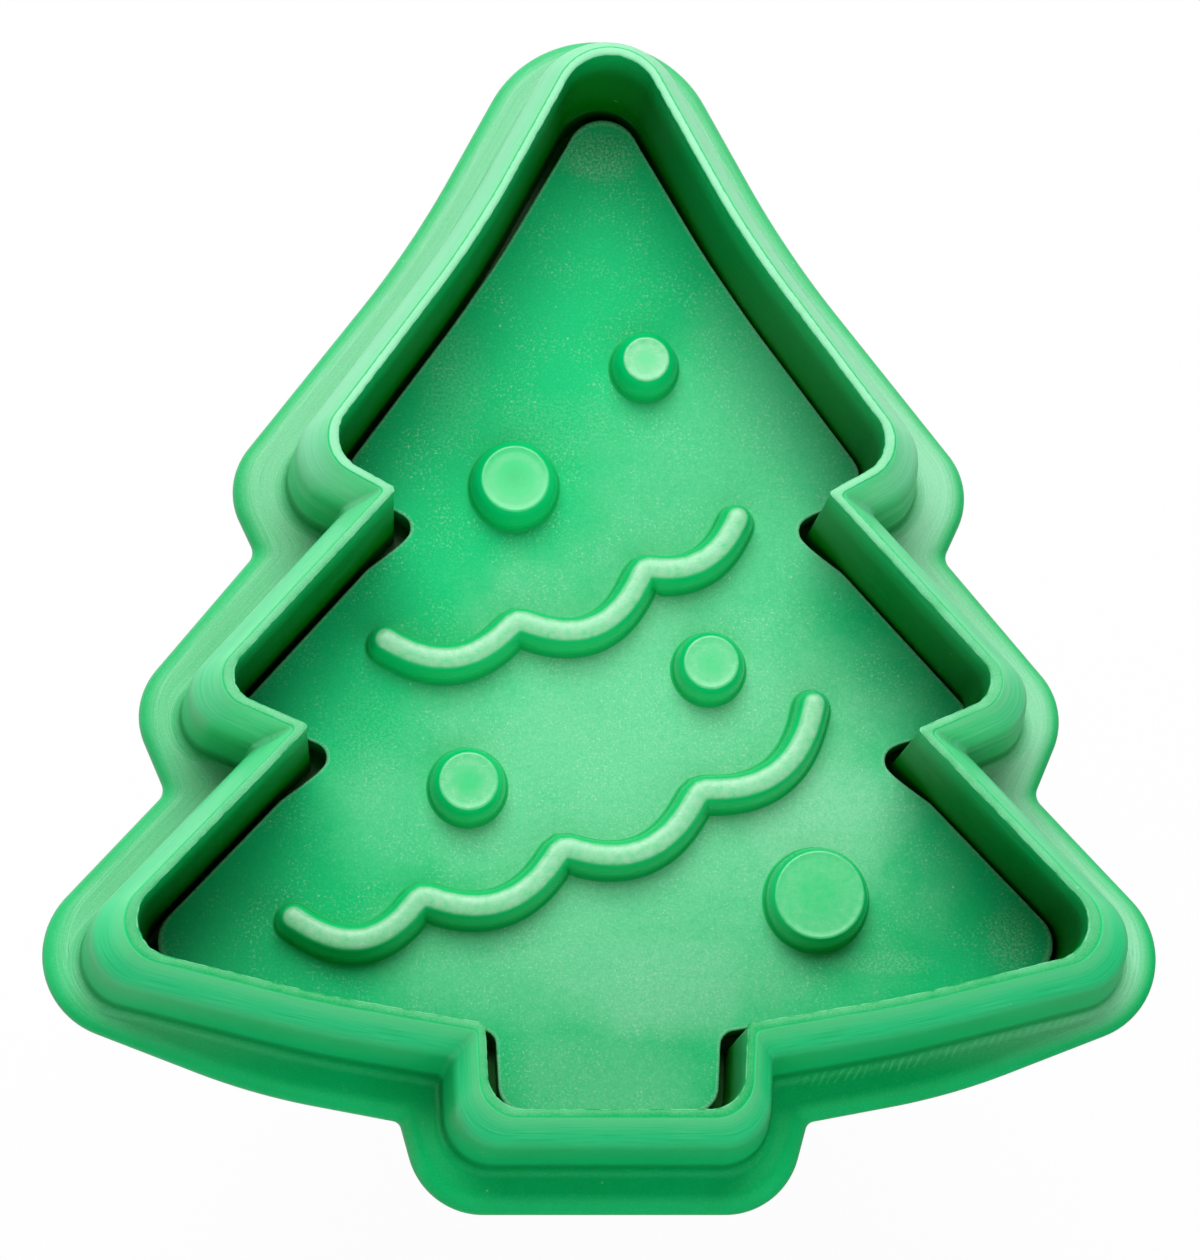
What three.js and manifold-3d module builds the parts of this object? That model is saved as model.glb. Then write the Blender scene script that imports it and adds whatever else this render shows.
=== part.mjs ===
// Spring-loaded plunger cookie cutter in the shape of a fir tree, with an embossing stamp plate.
// Millimetres, +Z up. The cutter lies with its cutting rim up and its push knob flat on the table at z = 0.
import * as THREE from 'three';
import { mergeVertices } from 'three/addons/utils/BufferGeometryUtils.js';
import Module from 'manifold-3d';

const wasm = await Module();
wasm.setup();

// Tree outline: corners of the cutting edge from the apex down the right side, mirrored for the left.
// at: corner before rounding, round: its radius, flare: how far the flange's corner lies outside it,
// flangeRound: the flange's radius there, all in per cent of treeHeight; steps: facets in the round.
const treeHeight = 65.35; // from the trunk's foot to the apex before rounding
const apex = { at: [0, 54.02], round: 4.44, flare: [0, 15.00], flangeRound: 11.32, steps: 12 };
const rightSide = [
  { at: [11.63, 32.13], round: 91.81, flare: [5.97, 3.83], flangeRound: 91.81, steps: 4 },
  { at: [25.86, 12.47], round: 3.37, flare: [8.95, 0.99], flangeRound: 6.58, steps: 10 },
  { at: [19.13, 8.72], round: 1.38, flare: [12.55, -1.99], flangeRound: 1.38, steps: 5 },
  { at: [34.89, -8.95], round: 2.45, flare: [8.17, 1.78], flangeRound: 6.58, steps: 10 },
  { at: [26.63, -12.55], round: 1.38, flare: [12.93, -2.83], flangeRound: 1.38, steps: 5 },
  { at: [44.38, -31.45], round: 3.37, flare: [11.58, -1.76], flangeRound: 7.65, steps: 10 },
  { at: [25.55, -36.11], round: 91.81, flare: [5.81, -6.58], flangeRound: 61.21, steps: 4 },
  { at: [11.40, -38.56], round: 0.61, flare: [6.96, -6.58], flangeRound: 0.92, steps: 3 },
  { at: [11.02, -45.98], round: 3.06, flare: [5.05, -7.42], flangeRound: 6.89, steps: 7 },
];
// Growth of a corner's radius for each millimetre that the outline grows, at the apex and at the branch tips
const apexSoftening = 1.0;
const tipSoftening = 0.4;

// Cutting wall and flange
const landWidth = 0.45;
const bevelReach = 1.8;
const bevelHeight = 3.0;
const wallReach = 2.3;
const wallHeight = 10.8; // from the flange's face to the cutting edge
const innerDraft = 0.2;
const flangeThickness = 2.4;
const flangeEdgeRound = 1.1;
const flangeEdgeSteps = 7;
const wallFootRound = 0.5;

// Deck and guide tower behind the flange
const tubReach = 1.6;
const tubEdgeRound = 0.6;
const deckThickness = 2.2;
const towerLength = 16;
const towerWall = 1.4;
const towerFlare = 1.4;
const towerEdgeRound = 0.7;
const towerSides = 40;
const gussetCount = 4;
const gussetReach = 4.7; // outwards from the tower
const gussetDrop = 11;
const gussetThickness = 1.6;
const gussetSink = 0.7; // into the tower's wall and into the deck
const gussetEnd = 1.0; // height of the rib's outer end below the deck
const gussetHollow = 1.0; // how far the curve's pull lies from the tower and from the rib's end
const gussetSteps = 6;
const guideLength = 3.7; // of the bore that the stem runs in, above the spring's seat

// Stamp plate
const plateThickness = 3.0;
const plateSkin = 1.7;
const plateLip = 1.5;
const plateClearance = 0.9;
const plateNotchRound = 1.8;
const plateEdgeRound = 0.25;
const plateRecess = 10; // from the plate's face to the cutting edge at rest
const plateRibThickness = 1.4;
const socketRadius = 5.0;
const socketSides = 32;
const socketDepth = 4.5; // behind the plate
const reliefHeight = 2.3; // of the baubles and garlands
const reliefSink = 0.3;
// Baubles: middle, width at the plate and width at the top, in per cent of treeHeight
const baubles = [
  { at: [3.90, 23.87], base: 6.43, top: 4.13 },
  { at: [-8.08, 12.55], base: 8.42, top: 6.12 },
  { at: [9.55, -4.28], base: 6.81, top: 4.90 },
  { at: [-12.32, -15.27], base: 7.27, top: 5.20 },
  { at: [19.04, -25.40], base: 9.64, top: 7.50 },
];
const baubleSides = 32;
const baubleEdgeRound = 0.15;
const garlandBaseWidth = 2.2;
const garlandTopWidth = 1.15;
const garlandEndSteps = 5;
const scallopSteps = 8;
// Each garland hangs in swags from peak to peak; a sag is a swag's depth below the line between its peaks.
// All in per cent of treeHeight.
const garlands = [
  {
    peaks: [[-19.74, -2.30], [-7.96, -0.31], [3.60, 4.59], [12.09, 9.18]],
    sags: [2.68, 3.37, 1.99],
  },
  {
    peaks: [[-27.85, -27.54], [-16.53, -25.40], [-3.98, -20.96], [8.42, -15.76], [18.82, -7.96]],
    sags: [3.06, 3.06, 3.21, 2.98],
  },
];

// Plunger stem
const stemRadius = 4.0;
const stemWing = 2.4;
const stemCollar = 6.0;
const upperSpigotRadius = 2.5;
const lowerSpigotRadius = 3.0;
const pilotRadius = 1.6;
const pilotDepth = 9.0;
const stemSides = 32;
const wingSteps = 4;

// Push knob
const knobHeight = 13;
const knobRadius = 16;
const knobTaper = 0.8;
const knobWall = 1.8;
const knobFloor = 3.0;
const knobEdgeRound = 1.8;
const knobRimRound = 0.7;
const knobSocketTop = 10.5;
const knobSocketWall = 1.75;
const knobWebBottom = 3.4;
const knobWebThickness = 1.6;
const springRingWall = 1.4;
const springRingTop = 8.0;
const knobSides = 44;

// Fastening screw and its cover cap
const screwShankRadius = 1.4;
const screwHeadRadius = 2.9;
const screwHeadHeight = 1.5;
const screwHeadChamfer = 0.8;
const screwSlotLength = 3.4;
const screwSlotWidth = 0.7;
const screwSlotDepth = 0.9;
const screwLength = 10.5;
const screwTip = 1.4;
const screwHoleRadius = 1.7;
const screwSides = 24;
const capRadius = 5.0;
const capThickness = 1.0;
const capEdgeRound = 0.3;
const capSides = 32;

// Return spring
const springWire = 1.1;
const springMeanRadius = 6.0;
const springCurls = 9.5;
const springEndCloseness = 0.42; // how much closer the end curls lie than the average
const springBoreClearance = 0.85; // round the spring in the tower and in the knob's ring
const wireSides = 6;
const stepsPerCurl = 12;

// Travel and fits
const plungerTravel = 10;
const stopClearance = 0.5;
const seatGap = 0.3;
const fitGap = 0.2;
const guideGap = 0.25;
const overshoot = 1; // of a cut beyond the face that it opens
const quarterSteps = 4; // facets in a turned piece's rounded edge

// Heights, stacked up from the knob's flat face on the table
const towerBottom = knobHeight + plungerTravel + stopClearance;
const deckBottom = towerBottom + towerLength;
const deckTop = deckBottom + deckThickness;
const plateBottom = deckTop + seatGap;
const plateTop = plateBottom + plateThickness;
const rimTop = plateTop + plateRecess;
const flangeTop = rimTop - wallHeight;
const flangeBottom = flangeTop - flangeThickness;
const socketBottom = plateBottom - socketDepth;
const springSeat = socketBottom - seatGap - guideLength;
const webTop = knobWebBottom + knobWebThickness;

// Radii that follow from the spring
const springBore = springMeanRadius + springWire / 2 + springBoreClearance;
const towerRadius = springBore + towerWall;

// A length from a share of the tree's height
const share = (percent) => treeHeight * percent / 100;

// Bodies for joining and cutting
function solid(geometry) {
  const bare = geometry.clone();
  bare.deleteAttribute('normal');
  bare.deleteAttribute('uv');
  const merged = mergeVertices(bare, 1e-4);
  const index = merged.index.array;
  const kept = [];
  for (let i = 0; i < index.length; i += 3) {
    const [a, b, c] = [index[i], index[i + 1], index[i + 2]];
    if (a !== b && b !== c && c !== a) kept.push(a, b, c);
  }
  return new wasm.Manifold(new wasm.Mesh({
    numProp: 3,
    vertProperties: merged.attributes.position.array,
    triVerts: new Uint32Array(kept),
  }));
}

function geometryOf(body) {
  const mesh = body.getMesh();
  const geometry = new THREE.BufferGeometry();
  geometry.setAttribute('position', new THREE.BufferAttribute(mesh.vertProperties, 3));
  geometry.setIndex(new THREE.BufferAttribute(mesh.triVerts, 1));
  return geometry;
}

// The whole outline's corners, counter-clockwise from the apex, at the cutting edge or at the flange
function treeCorners(onFlange) {
  const place = (corner, side) => {
    const reach = onFlange ? corner.flare : [0, 0];
    return {
      at: new THREE.Vector2(side * share(corner.at[0] + reach[0]), share(corner.at[1] + reach[1])),
      round: share(onFlange ? corner.flangeRound : corner.round),
      softening: corner === apex ? apexSoftening : tipSoftening,
      steps: corner.steps,
    };
  };
  const left = rightSide.map((corner) => place(corner, -1));
  const right = rightSide.map((corner) => place(corner, 1)).reverse();
  return [place(apex, 1), ...left, ...right];
}

// Moves every edge of a corner loop outwards by reach.
// A tip's radius grows with it, and a notch has notchRound at least.
function grown(corners, reach, notchRound) {
  return corners.map((corner, i) => {
    const before = corners.at(i - 1).at;
    const after = corners[(i + 1) % corners.length].at;
    const into = corner.at.clone().sub(before).normalize();
    const out = after.clone().sub(corner.at).normalize();
    const normalIn = new THREE.Vector2(into.y, -into.x);
    const normalOut = new THREE.Vector2(out.y, -out.x);
    const shift = normalIn.clone().add(normalOut).multiplyScalar(reach / (1 + normalIn.dot(normalOut)));
    const isTip = into.cross(out) > 0;
    const tipRound = corner.round + corner.softening * reach;
    const round = isTip ? tipRound : Math.max(corner.round, notchRound ?? 0);
    return { ...corner, at: corner.at.clone().add(shift), round };
  });
}

// Rounds a corner loop into a closed run of points; a round is limited by the length of its two edges
function rounded(corners) {
  const count = corners.length;
  const edges = corners.map((corner, i) => corners[(i + 1) % count].at.clone().sub(corner.at));
  const lengths = edges.map((edge) => edge.length());
  const bends = corners.map((corner, i) => {
    const into = edges[(i + count - 1) % count];
    return Math.atan2(into.cross(edges[i]), into.dot(edges[i]));
  });
  const tangents = corners.map((corner, i) => corner.round * Math.tan(Math.abs(bends[i]) / 2));
  const points = [];
  corners.forEach((corner, i) => {
    const last = (i + count - 1) % count;
    const next = (i + 1) % count;
    const room = Math.min(1,
      0.98 * lengths[last] / (tangents[last] + tangents[i]),
      0.98 * lengths[i] / (tangents[i] + tangents[next]));
    const radius = corner.round * room;
    const into = edges[last].clone().normalize();
    const start = corner.at.clone().addScaledVector(into, -tangents[i] * room);
    const toCentre = new THREE.Vector2(-into.y, into.x).multiplyScalar(radius * Math.sign(bends[i]));
    const centre = start.clone().add(toCentre);
    for (let k = 0; k <= corner.steps; k += 1) {
      points.push(start.clone().rotateAround(centre, bends[i] * k / corner.steps));
    }
  });
  return points;
}

// Skins a stack of outlines with equal point counts, and closes the first and the last
function loft(rings) {
  const count = rings[0].loop.length;
  const position = rings.flatMap(({ loop, z }) => loop.flatMap((point) => [point.x, point.y, z]));
  const index = [];
  for (let r = 0; r < rings.length - 1; r += 1) {
    for (let i = 0; i < count; i += 1) {
      const a = r * count + i;
      const b = r * count + (i + 1) % count;
      index.push(a, b, b + count, a, b + count, a + count);
    }
  }
  const top = (rings.length - 1) * count;
  for (const [a, b, c] of THREE.ShapeUtils.triangulateShape(rings[0].loop, [])) index.push(a, c, b);
  for (const [a, b, c] of THREE.ShapeUtils.triangulateShape(rings.at(-1).loop, [])) {
    index.push(top + a, top + b, top + c);
  }
  const geometry = new THREE.BufferGeometry();
  geometry.setAttribute('position', new THREE.Float32BufferAttribute(position, 3));
  geometry.setIndex(index);
  return geometry;
}

// Turns a profile of [radius, height] points about a vertical line through the plunger's axis
function turned(profile, segments) {
  const points = profile.map(([radius, height]) => new THREE.Vector2(radius, height));
  const geometry = new THREE.LatheGeometry(points, segments);
  geometry.rotateX(Math.PI / 2);
  return geometry;
}

// Points of a quarter round in a profile, from one angle to another about its centre
function quarter(centreR, centreZ, radius, fromDegrees, toDegrees) {
  const points = [];
  for (let k = 0; k <= quarterSteps; k += 1) {
    const angle = THREE.MathUtils.degToRad(fromDegrees + (toDegrees - fromDegrees) * k / quarterSteps);
    points.push([centreR + radius * Math.cos(angle), centreZ + radius * Math.sin(angle)]);
  }
  return points;
}

const edgeCorners = treeCorners(false);
const flangeCorners = treeCorners(true);
const edgeLoop = (reach, notchRound) => rounded(grown(edgeCorners, reach, notchRound));
const flangeLoop = (reach) => rounded(grown(flangeCorners, reach));

// The object's middle is the middle of the flange's outline, and the plunger pushes at the plate's centroid
const flangeBox = new THREE.Box2().setFromPoints(flangeLoop(0));
const treeShift = -(flangeBox.max.y + flangeBox.min.y) / 2;
function centroidY(loop) {
  let area = 0;
  let moment = 0;
  loop.forEach((point, i) => {
    const next = loop[(i + 1) % loop.length];
    const slice = point.cross(next);
    area += slice;
    moment += slice * (point.y + next.y) / 3;
  });
  return moment / area;
}
const plungerY = centroidY(edgeLoop(-plateClearance));

// Cutter body: cutting wall, bevel, flange, deck and guide tower in one moulding
function cutterBody() {
  const middle = (flangeTop + flangeBottom) / 2;
  const bulge = flangeThickness / 2;
  const flangeEdge = [];
  for (let k = 0; k <= flangeEdgeSteps; k += 1) {
    const angle = Math.PI * (k / flangeEdgeSteps - 0.5);
    const reach = flangeEdgeRound * (Math.cos(angle) - 1);
    flangeEdge.push({ loop: flangeLoop(reach), z: middle + bulge * Math.sin(angle) });
  }
  const shell = solid(loft([
    { loop: edgeLoop(tubReach - tubEdgeRound), z: deckBottom },
    { loop: edgeLoop(tubReach), z: deckBottom + tubEdgeRound },
    { loop: edgeLoop(tubReach), z: flangeBottom },
    ...flangeEdge,
    { loop: edgeLoop(wallReach + wallFootRound), z: flangeTop },
    { loop: edgeLoop(wallReach), z: flangeTop + wallFootRound },
    { loop: edgeLoop(bevelReach), z: rimTop - bevelHeight },
    { loop: edgeLoop(landWidth), z: rimTop },
    { loop: edgeLoop(0), z: rimTop },
    { loop: edgeLoop(-innerDraft), z: deckTop },
  ]));
  const tower = solid(turned([
    [0, towerBottom],
    ...quarter(towerRadius - towerEdgeRound, towerBottom + towerEdgeRound, towerEdgeRound, -90, 0),
    [towerRadius, deckBottom - towerFlare],
    [towerRadius + towerFlare, deckBottom],
    [towerRadius + towerFlare, deckBottom + deckThickness / 2],
    [0, deckBottom + deckThickness / 2],
  ], towerSides)).translate(0, plungerY, 0);
  const bore = solid(turned([
    [0, towerBottom - overshoot],
    [springBore, towerBottom - overshoot],
    [springBore, springSeat],
    [stemRadius + guideGap, springSeat],
    [stemRadius + guideGap, socketBottom - seatGap],
    [socketRadius + guideGap, socketBottom - seatGap],
    [socketRadius + guideGap, deckTop + overshoot],
    [0, deckTop + overshoot],
  ], towerSides)).translate(0, plungerY, 0);
  let body = shell.add(tower);
  const rib = new THREE.Shape();
  const root = towerRadius - gussetSink;
  const ribEnd = deckBottom - gussetEnd;
  rib.moveTo(root, deckBottom - gussetDrop);
  rib.lineTo(towerRadius, deckBottom - gussetDrop);
  rib.quadraticCurveTo(towerRadius + gussetHollow, ribEnd - gussetHollow, towerRadius + gussetReach, ribEnd);
  rib.lineTo(towerRadius + gussetReach, deckBottom + gussetSink);
  rib.lineTo(root, deckBottom + gussetSink);
  for (let i = 0; i < gussetCount; i += 1) {
    const gusset = new THREE.ExtrudeGeometry(rib, {
      depth: gussetThickness,
      bevelEnabled: false,
      curveSegments: gussetSteps,
    });
    gusset.translate(0, 0, -gussetThickness / 2);
    gusset.rotateX(Math.PI / 2);
    gusset.rotateZ((i + 0.5) * 2 * Math.PI / gussetCount);
    gusset.translate(0, plungerY, 0);
    body = body.add(solid(gusset));
  }
  return geometryOf(body.subtract(bore));
}

// Relief on the stamp plate: cone-sided baubles and scalloped garland ridges
function bauble({ at, base, top }) {
  const baseRadius = share(base) / 2;
  const topRadius = share(top) / 2;
  const slope = (baseRadius - topRadius) / reliefHeight;
  const geometry = turned([
    [0, plateTop - reliefSink],
    [baseRadius + slope * reliefSink, plateTop - reliefSink],
    [topRadius + slope * baubleEdgeRound, plateTop + reliefHeight - baubleEdgeRound],
    [topRadius - baubleEdgeRound, plateTop + reliefHeight],
    [0, plateTop + reliefHeight],
  ], baubleSides);
  geometry.translate(share(at[0]), share(at[1]), 0);
  return geometry;
}

// A swag is a parabola below the line between two peaks
function garlandPath({ peaks, sags }) {
  const path = [];
  sags.forEach((sag, i) => {
    const from = new THREE.Vector2(...peaks[i].map(share));
    const to = new THREE.Vector2(...peaks[i + 1].map(share));
    const along = to.clone().sub(from).normalize();
    const drop = new THREE.Vector2(along.y, -along.x);
    for (let k = i === 0 ? 0 : 1; k <= scallopSteps; k += 1) {
      const part = k / scallopSteps;
      const depth = 4 * share(sag) * part * (1 - part);
      path.push(from.clone().lerp(to, part).addScaledVector(drop, depth));
    }
  });
  return path;
}

// The outline of a ridge of the given half width along a path, with round ends
function ridgeLoop(path, halfWidth) {
  const count = path.length;
  const headings = path.slice(1).map((point, i) => point.clone().sub(path[i]).normalize());
  const side = path.map((point, i) => {
    const into = headings[Math.max(i - 1, 0)];
    const out = headings[Math.min(i, count - 2)];
    const middle = new THREE.Vector2(into.y + out.y, -into.x - out.x);
    return middle.multiplyScalar(halfWidth / (1 + into.dot(out)));
  });
  const right = path.map((point, i) => point.clone().add(side[i]));
  const left = path.map((point, i) => point.clone().sub(side[i])).reverse();
  const roundEnd = (centre, from) => {
    const points = [];
    for (let k = 1; k < garlandEndSteps; k += 1) {
      points.push(from.clone().rotateAround(centre, k * Math.PI / garlandEndSteps));
    }
    return points;
  };
  const lastEnd = roundEnd(path.at(-1), right.at(-1));
  const firstEnd = roundEnd(path[0], left.at(-1));
  return [...right, ...lastEnd, ...left, ...firstEnd];
}

function garland(shape) {
  const path = garlandPath(shape);
  const spread = (garlandBaseWidth - garlandTopWidth) / 2 * reliefSink / reliefHeight;
  return loft([
    { loop: ridgeLoop(path, garlandBaseWidth / 2 + spread), z: plateTop - reliefSink },
    { loop: ridgeLoop(path, garlandTopWidth / 2), z: plateTop + reliefHeight },
  ]);
}

// Stamp plate: a cored plate with a lip, ribs and the stem's socket behind, and the relief in front
function stampPlate() {
  const plateLoop = (inset) => edgeLoop(-plateClearance - inset, plateNotchRound);
  const coreTop = plateTop - plateSkin;
  let plate = solid(loft([
    { loop: plateLoop(0), z: plateBottom },
    { loop: plateLoop(0), z: plateTop - plateEdgeRound },
    { loop: plateLoop(plateEdgeRound), z: plateTop },
  ]));
  const core = solid(loft([
    { loop: plateLoop(plateLip), z: plateBottom - overshoot },
    { loop: plateLoop(plateLip), z: coreTop },
  ]));
  const reach = flangeBox.max.y - flangeBox.min.y;
  const ribHeight = coreTop - plateBottom;
  const ribBox = (width, depth) => {
    const box = new THREE.BoxGeometry(width, depth, ribHeight);
    box.translate(0, plungerY, plateBottom + ribHeight / 2);
    return solid(box);
  };
  const ribs = ribBox(plateRibThickness, reach).add(ribBox(reach, plateRibThickness));
  const socket = solid(turned([
    [0, socketBottom],
    [socketRadius, socketBottom],
    [socketRadius, coreTop + plateSkin / 2],
    [0, coreTop + plateSkin / 2],
  ], socketSides)).translate(0, plungerY, 0);
  const bore = solid(turned([
    [0, socketBottom - overshoot],
    [upperSpigotRadius + fitGap, socketBottom - overshoot],
    [upperSpigotRadius + fitGap, coreTop],
    [0, coreTop],
  ], socketSides)).translate(0, plungerY, 0);
  const cored = plate.subtract(core);
  plate = cored.add(plate.intersect(ribs)).add(socket).subtract(bore);
  for (const shape of baubles) plate = plate.add(solid(bauble(shape)));
  for (const shape of garlands) plate = plate.add(solid(garland(shape)));
  return geometryOf(plate);
}

// Plunger stem: cross-winged post with a round collar and spigots that seat in the plate and the knob
function plungerStem() {
  const shoulder = socketBottom - seatGap;
  const collarBottom = knobSocketTop + seatGap;
  const spigotTop = plateTop - plateSkin - seatGap;
  const spigotBottom = webTop + seatGap;
  const wing = stemWing / 2;
  const tip = Math.sqrt(stemRadius ** 2 - wing ** 2);
  const tipAngle = Math.atan2(wing, tip);
  const cross = new THREE.Shape();
  for (let i = 0; i < 4; i += 1) {
    const heading = i * Math.PI / 2;
    const inner = new THREE.Vector2(wing, -wing).rotateAround(new THREE.Vector2(), heading);
    if (i === 0) cross.moveTo(inner.x, inner.y);
    else cross.lineTo(inner.x, inner.y);
    cross.absarc(0, 0, stemRadius, heading - tipAngle, heading + tipAngle, false);
  }
  const wings = new THREE.ExtrudeGeometry(cross, {
    depth: shoulder - collarBottom - stemCollar / 2,
    bevelEnabled: false,
    curveSegments: wingSteps,
  });
  wings.translate(0, 0, collarBottom + stemCollar / 2);
  const posts = solid(turned([
    [0, spigotBottom],
    [lowerSpigotRadius, spigotBottom],
    [lowerSpigotRadius, collarBottom],
    [stemRadius, collarBottom],
    [stemRadius, collarBottom + stemCollar],
    [0, collarBottom + stemCollar],
  ], stemSides));
  const head = solid(turned([
    [0, shoulder - overshoot],
    [upperSpigotRadius, shoulder - overshoot],
    [upperSpigotRadius, spigotTop],
    [0, spigotTop],
  ], stemSides));
  const pilot = solid(turned([
    [0, spigotBottom - overshoot],
    [pilotRadius, spigotBottom - overshoot],
    [pilotRadius, spigotBottom + pilotDepth],
    [0, spigotBottom + pilotDepth],
  ], stemSides));
  const stem = solid(wings).add(posts).add(head).subtract(pilot);
  return geometryOf(stem);
}

// Push knob: hollow turned button with a skirt, a ring that centres the spring and a socket for the stem
function pushKnob() {
  const socketBore = lowerSpigotRadius + fitGap;
  const socketOuter = socketBore + knobSocketWall;
  const rimRadius = knobRadius - knobTaper;
  const wellRadius = capRadius + fitGap;
  const wellDepth = capThickness + 2 * fitGap;
  const headRecess = screwHeadRadius + 2 * guideGap;
  return turned([
    [wellRadius, 0],
    ...quarter(knobRadius - knobEdgeRound, knobEdgeRound, knobEdgeRound, -90, 0),
    ...quarter(rimRadius - knobRimRound, knobHeight - knobRimRound, knobRimRound, 0, 90),
    [rimRadius - knobWall, knobHeight],
    [knobRadius - knobWall - knobTaper, knobFloor],
    [springBore + springRingWall, knobFloor],
    [springBore + springRingWall, springRingTop],
    [springBore, springRingTop],
    [springBore, knobFloor],
    [socketOuter, knobFloor],
    [socketOuter, knobSocketTop],
    [socketBore, knobSocketTop],
    [socketBore, webTop],
    [screwHoleRadius, webTop],
    [screwHoleRadius, knobWebBottom],
    [headRecess, knobWebBottom],
    [headRecess, wellDepth],
    [wellRadius, wellDepth],
    [wellRadius, 0],
  ], knobSides);
}

// Screw that draws the knob onto the stem, and the cap that closes its well
function stemScrew() {
  const seat = knobWebBottom - fitGap;
  const head = seat - screwHeadHeight;
  const screw = solid(turned([
    [0, head],
    [screwHeadRadius - screwHeadChamfer, head],
    [screwHeadRadius, head + screwHeadChamfer],
    [screwHeadRadius, seat],
    [screwShankRadius, seat],
    [screwShankRadius, seat + screwLength - screwTip],
    [0, seat + screwLength],
  ], screwSides));
  const slot = (width, depth) => {
    const box = new THREE.BoxGeometry(width, depth, 2 * screwSlotDepth);
    box.translate(0, 0, head);
    return solid(box);
  };
  const cross = slot(screwSlotLength, screwSlotWidth).add(slot(screwSlotWidth, screwSlotLength));
  return geometryOf(screw.subtract(cross));
}

function knobCap() {
  return turned([
    [0, fitGap],
    ...quarter(capRadius - capEdgeRound, fitGap + capEdgeRound, capEdgeRound, -90, 0),
    [capRadius, fitGap + capThickness],
    [0, fitGap + capThickness],
  ], capSides);
}

// Return spring: one round wire wound between the knob's floor and the seat in the guide tower
function springPoint(part) {
  const bottom = knobFloor + fitGap + springWire / 2;
  const top = springSeat - fitGap - springWire / 2;
  const ease = part - springEndCloseness * Math.sin(2 * Math.PI * part) / (2 * Math.PI);
  const angle = 2 * Math.PI * springCurls * part;
  return new THREE.Vector3(
    springMeanRadius * Math.cos(angle),
    springMeanRadius * Math.sin(angle),
    bottom + (top - bottom) * ease,
  );
}

function returnSpring() {
  const steps = springCurls * stepsPerCurl;
  const rings = [];
  for (let i = 0; i <= steps; i += 1) {
    const centre = springPoint(i / steps);
    const ahead = springPoint(i / steps + 1e-3).sub(springPoint(i / steps - 1e-3)).normalize();
    const outward = new THREE.Vector3(centre.x, centre.y, 0).normalize();
    const up = new THREE.Vector3().crossVectors(ahead, outward).normalize();
    for (let k = 0; k < wireSides; k += 1) {
      const angle = 2 * Math.PI * k / wireSides;
      rings.push(centre.clone()
        .addScaledVector(outward, springWire / 2 * Math.cos(angle))
        .addScaledVector(up, springWire / 2 * Math.sin(angle)));
    }
  }
  const index = [];
  for (let i = 0; i < steps; i += 1) {
    for (let k = 0; k < wireSides; k += 1) {
      const a = i * wireSides + k;
      const b = i * wireSides + (k + 1) % wireSides;
      index.push(a, b, b + wireSides, a, b + wireSides, a + wireSides);
    }
  }
  const end = steps * wireSides;
  for (let k = 1; k < wireSides - 1; k += 1) {
    index.push(0, k + 1, k);
    index.push(end, end + k, end + k + 1);
  }
  const geometry = new THREE.BufferGeometry().setFromPoints(rings);
  geometry.setIndex(index);
  return geometry;
}

// Least clear distance between neighbouring curls, to check that the wound wire doesn't touch itself
function springLeastGap() {
  const steps = springCurls * stepsPerCurl * 4;
  const halfCurl = stepsPerCurl * 2;
  const points = Array.from({ length: steps + 1 }, (unused, i) => springPoint(i / steps));
  let least = Infinity;
  points.forEach((point, i) => {
    for (let j = i + halfCurl; j <= steps; j += 1) least = Math.min(least, point.distanceTo(points[j]));
  });
  return least - springWire;
}
console.log(`return_spring: least gap between curls ${springLeastGap().toFixed(2)} mm`);

// Finishes
const leafGreen = new THREE.Color(0x14a862);
const paleGreen = new THREE.Color(0x3cbf83);
const steel = new THREE.Color(0xb9bcc0);
function finish(colour, roughness, metalness) {
  return new THREE.MeshStandardMaterial({ color: colour, roughness, metalness });
}

function piece(name, geometry, material, onAxis) {
  const mesh = new THREE.Mesh(geometry, material);
  mesh.name = name;
  mesh.position.y = onAxis ? plungerY : 0;
  return mesh;
}

const cutter = new THREE.Group();
cutter.position.y = treeShift;
cutter.add(
  piece('cutter_body', cutterBody(), finish(leafGreen, 0.38, 0), false),
  piece('stamp_plate', stampPlate(), finish(paleGreen, 0.5, 0), false),
  piece('plunger_stem', plungerStem(), finish(leafGreen, 0.4, 0), true),
  piece('push_knob', pushKnob(), finish(leafGreen, 0.38, 0), true),
  piece('return_spring', returnSpring(), finish(steel, 0.3, 1), true),
  piece('stem_screw', stemScrew(), finish(steel, 0.35, 1), true),
  piece('knob_cap', knobCap(), finish(leafGreen, 0.4, 0), true),
);

const object = new THREE.Group();
object.add(cutter);
export default object;
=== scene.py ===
import math

import bmesh
import bpy
import numpy as np
from mathutils import Matrix, Vector, noise
from mathutils.geometry import tessellate_polygon


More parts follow.
